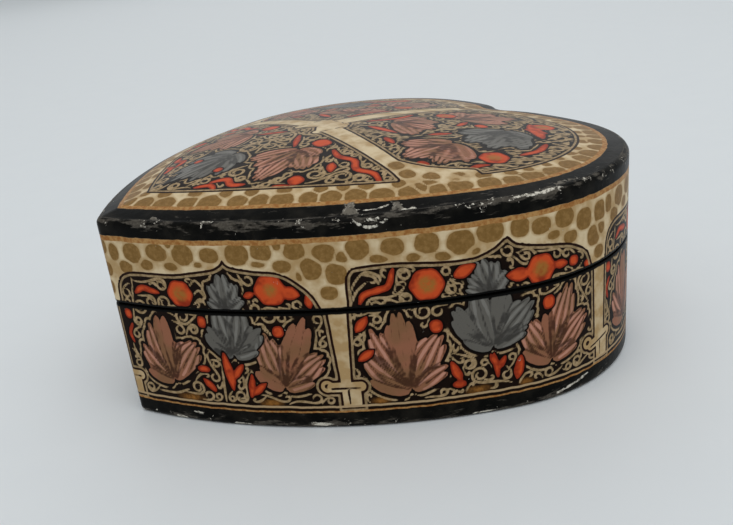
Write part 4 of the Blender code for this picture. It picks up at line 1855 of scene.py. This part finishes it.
@dataclass
class Lid(PaintedShell):
    """Lid: painted wall, black rounded rim, domed painted top and lacquered inside."""

    columns: int = 848
    ceiling: float = 0.0024
    rim_edge: float = 0.0012
    worn_edge: float = 0.00025
    band_height: float = 0.0330
    rim_steps: int = 5
    band_rows: int = 3
    picture_rows: int = 43
    ceiling_rings: int = 4
    outline_steps: tuple[int, int, int, int] = (24, 900, 1000, 60)
    top_band: float = 3.6
    flakes: tuple[tuple[float, float, float, float], ...] = (
        (43.9, 1.5, 1.3, 3.4), (51.2, 1.3, 0.8, 3.2), (79.0, 3.0, 1.0, 1.8), (12.0, 1.4, 1.0, 1.7),
    )
    scars: tuple[Squiggle, ...] = (
        Scratch(((44.1, 35.4), (45.0, 34.7), (46.1, 34.2), (47.3, 34.0), (48.3, 34.4), (49.4, 35.0)), 0.5),
        Scratch(((46.0, 34.9), (46.6, 35.2), (47.4, 35.1), (48.2, 35.3)), 0.36),
        Scratch(((67.6, 35.3), (69.6, 35.6), (72.4, 35.5), (76.0, 35.7)), 0.34),
        Scratch(((61.0, 35.4), (62.4, 35.5)), 0.3),
        Scratch(((9.0, 35.2), (10.6, 35.0)), 0.35),
    )
    top_scars: tuple[Squiggle, ...] = (
        Scratch(((43.2, 0.3), (44.2, 0.8), (45.6, 0.9)), 0.5),
        Scratch(((44.8, 2.2), (46.4, 1.9), (48.4, 2.1), (50.0, 2.8)), 0.26),
        Scratch(((51.4, 0.4), (52.0, 1.3), (52.8, 0.9), (53.4, 1.4), (54.6, 0.5)), 0.5),
        Scratch(((68.4, 0.3), (71.0, 0.5), (74.6, 0.3)), 0.4),
    )

    def rows(self) -> list[ProfileRow]:
        """The profile from the top of the rim, down the wall and up the inside to the ceiling."""
        shape = self.shape
        foot = shape.rim_height - self.rim_edge
        rows = []
        for step in range(self.rim_steps, 0, -1):
            angle = math.pi / 2 * step / self.rim_steps
            rows.append(ProfileRow(self.rim_edge * (1.0 - math.cos(angle)),
                                   foot + self.rim_edge * math.sin(angle), 1.0, math.sin(angle)))
        seat = shape.seam_height + shape.lid_gap
        low = seat + self.worn_edge
        heights = list(np.linspace(foot, self.band_height, self.band_rows + 1))
        heights += list(np.linspace(self.band_height, low, self.picture_rows + 1)[1:])
        rows += [ProfileRow(shape.inset(height), height) for height in heights]
        inset = shape.inset(seat)
        reach = self.plan.mean_reach(shape.wall, self.dome.shift)
        rows += [
            ProfileRow(inset + self.worn_edge * 0.3, seat + self.worn_edge * 0.3),
            ProfileRow(inset + self.worn_edge, seat),
            ProfileRow(inset + shape.wall, seat),
        ]
        for ring in range(self.ceiling_rings, -1, -1):
            rows.append(ProfileRow(shape.wall, shape.rim_height - self.ceiling,
                                   ring / self.ceiling_rings, 1.0, reach))
        return rows

    def rim_distance(self, place: np.ndarray) -> tuple[np.ndarray, np.ndarray]:
        """How far each place of the top is from the rim's outline, and where along it.

        Args:
            place: Positions in millimetres.

        Returns:
            The distance inward, and the distance of the nearest rim point from the tip.
        """
        steps = self.outline_steps
        outline = self.plan.outline(0.0, steps) / MM
        outline[:, 1] -= self.plan.middle() / MM
        half = sum(steps) + 1
        right = outline[:half]
        lengths = np.concatenate([[0.0], np.cumsum(np.hypot(*np.diff(right, axis=0).T))])
        tree = search_tree(right)
        inset = np.empty(len(place))
        along = np.empty(len(place))
        for number, (x, y, _) in enumerate(place):
            _, nearest, apart = tree.find((abs(x), y, 0.0))
            inset[number] = apart
            along[number] = lengths[nearest]
        return inset, along

    def tear(self, canvas: Canvas, sheet: Canvas, inset: np.ndarray, near: np.ndarray,
             wall_side: np.ndarray, top_side: np.ndarray) -> None:
        """Lays the larger flakes that have come off the rim.

        Args:
            canvas: The wall.
            sheet: The top.
            inset: Distance of the top's points from the rim's outline.
            near: Distance of their rim points from the tip.
            wall_side: Which points of the wall lie on the worn side.
            top_side: Which points of the top do.
        """
        for middle, reach, low, high in self.flakes:
            for along, up, side, layer in (
                (canvas.u, canvas.v - self.shape.rim_height / MM, wall_side, canvas.paint[Coat.CHIP]),
                (near, inset, top_side, sheet.paint[Coat.CHIP]),
            ):
                span = np.maximum(np.maximum(low - up, up - high), -FAR)
                distance = np.maximum(np.abs(along - middle) - reach + 0.25 * np.abs(up), span)
                np.minimum(layer, np.where(side, distance, FAR), out=layer)
        edge = Canvas(near, inset)
        self.scar(edge, top_side, self.top_scars)
        np.minimum(sheet.paint[Coat.SCAR], edge.paint[Coat.SCAR], out=sheet.paint[Coat.SCAR])

    def build(self) -> bpy.types.Object:
        """Builds and paints the lid.

        Returns:
            The finished piece.
        """
        material = self.finish.material("painted_lid", BandLine(0.42, 0.42))
        reach = self.plan.mean_reach(self.rim_edge, self.dome.shift)
        tree = LoftTree("lid_loft", self.plan, self.dome, material, self.columns, reach, self.rim_edge,
                        self.shape.rim_height)
        piece = tree.build("painted_lid", self.rows())
        place = self.points(piece) / MM
        level = np.rint(self.mark(piece, "level")).astype(int)
        top = (self.mark(piece, "top") > 0.5) | (level == 0)
        last_wall = self.rim_steps + self.band_rows + self.picture_rows + 3
        wall = np.flatnonzero(~top & (level <= last_wall))
        top_places = np.flatnonzero(top)
        along, height = self.folded(self.mark(piece, "around"), place[:, 2])
        canvas = Canvas(along[wall], height[wall])
        self.walls.apply(canvas, False)
        flat = place[top_places]
        inset, near = self.rim_distance(flat)
        sheet = Canvas(np.abs(flat[:, 0]), flat[:, 1])
        DomePainter().apply(sheet, inset, near)
        self.tear(canvas, sheet, inset, near, place[wall, 0] > 0.0, flat[:, 0] > 0.0)
        self.scar(canvas, place[wall, 0] > 0.0, self.scars)
        self.write_paint(piece, ((wall, canvas), (top_places, sheet)))
        band = np.full(len(place), IN_BAND)
        band[wall] = self.band_height / MM - place[wall, 2]
        band[top_places] = inset - self.top_band
        self.write(piece, "band", band)
        self.write(piece, "second_line", np.full(len(place), FAR))
        edge = np.full(len(place), NO_EDGE)
        edge[wall] = np.abs(self.shape.rim_height / MM - place[wall, 2])
        edge[top_places] = inset
        self.write(piece, "edge", edge)
        # Distance from the seam, for the dark seam line that is partly painted shade of the gap
        gap = np.full(len(place), NO_EDGE)
        gap[wall] = place[wall, 2] - (self.shape.seam_height + self.shape.lid_gap) / MM
        self.write(piece, "gap", gap)
        along[top_places] = near
        self.write(piece, "along", along)
        self.close(piece)
        self.hand_over(piece, "lid", "lid_board")
        return piece


@dataclass
class Studio:
    """Plain pale floor, soft lights and the camera at the photograph's viewing angle."""

    focal: float = 46.03
    sensor: float = 36.0
    location: tuple[float, float, float] = (0.147316, -0.081533, 0.077622)
    right: tuple[float, float, float] = (0.535006, 0.838282, -0.105131)
    up: tuple[float, float, float] = (-0.244932, 0.272993, 0.930313)
    floor_size: float = 12.0
    surround: Colour = (0.95, 0.985, 1.0, 1.0)
    surround_strength: float = 0.55

    def build(self) -> None:
        """Builds the floor, the lights and the camera."""
        self.lay_floor()
        self.hang_lights()
        self.set_camera()

    def lay_floor(self) -> None:
        half = self.floor_size / 2.0
        mesh = bpy.data.meshes.new("studio_floor")
        mesh.from_pydata([(-half, -half, 0.0), (half, -half, 0.0), (half, half, 0.0), (-half, half, 0.0)],
                         [], [(0, 1, 2, 3)])
        floor = bpy.data.objects.new("studio_floor", mesh)
        mesh.materials.append(StudioPaper().material())
        bpy.context.scene.collection.objects.link(floor)

    def hang_lights(self) -> None:
        """Hangs two soft boxes and sets a pale surround."""
        world = bpy.context.scene.world or bpy.data.worlds.new("studio")
        bpy.context.scene.world = world
        world.use_nodes = True
        backdrop = world.node_tree.nodes["Background"]
        backdrop.inputs["Color"].default_value = self.surround
        backdrop.inputs["Strength"].default_value = self.surround_strength
        self.soft_box("top_box", (0.38, -0.08, 1.05), 1.2, 5.0)
        self.soft_box("back_box", (-0.8, 0.5, 0.62), 0.9, 1.1)
        bpy.context.scene.view_settings.view_transform = "Standard"

    def soft_box(self, name: str, place: tuple[float, float, float], size: float, power: float) -> None:
        """Hangs one soft box aimed at the box.

        Args:
            name: Its name.
            place: Where it hangs.
            size: Side of its square.
            power: Its power in watts.
        """
        lamp = bpy.data.lights.new(name, "AREA")
        lamp.shape = "SQUARE"
        lamp.size = size
        lamp.energy = power
        holder = bpy.data.objects.new(name, lamp)
        holder.location = place
        holder.rotation_euler = (-Vector(place)).to_track_quat("-Z", "Y").to_euler()
        bpy.context.scene.collection.objects.link(holder)

    def set_camera(self) -> None:
        """Sets the camera."""
        lens = bpy.data.cameras.new("photo_camera")
        lens.lens = self.focal
        lens.sensor_width = self.sensor
        lens.clip_start = 0.005
        lens.clip_end = 30.0
        holder = bpy.data.objects.new("photo_camera", lens)
        right, up = Vector(self.right), Vector(self.up)
        turn = Matrix((right, up, right.cross(up))).transposed()
        holder.matrix_world = Matrix.Translation(self.location) @ turn.to_4x4()
        bpy.context.scene.collection.objects.link(holder)
        bpy.context.scene.camera = holder


def main() -> None:
    """Builds the box and its studio in order."""
    logging.basicConfig(level=logging.INFO, format="%(name)s: %(message)s")
    plan, dome, shape, finish = HeartPlan(), DomeShape(), WallShape(), PaintedLacquer()
    walls = WallPainter(plan)
    Tray(plan, dome, shape, finish, walls).build()
    Lid(plan, dome, shape, finish, walls).build()
    Studio().build()


if __name__ == "__main__":
    main()
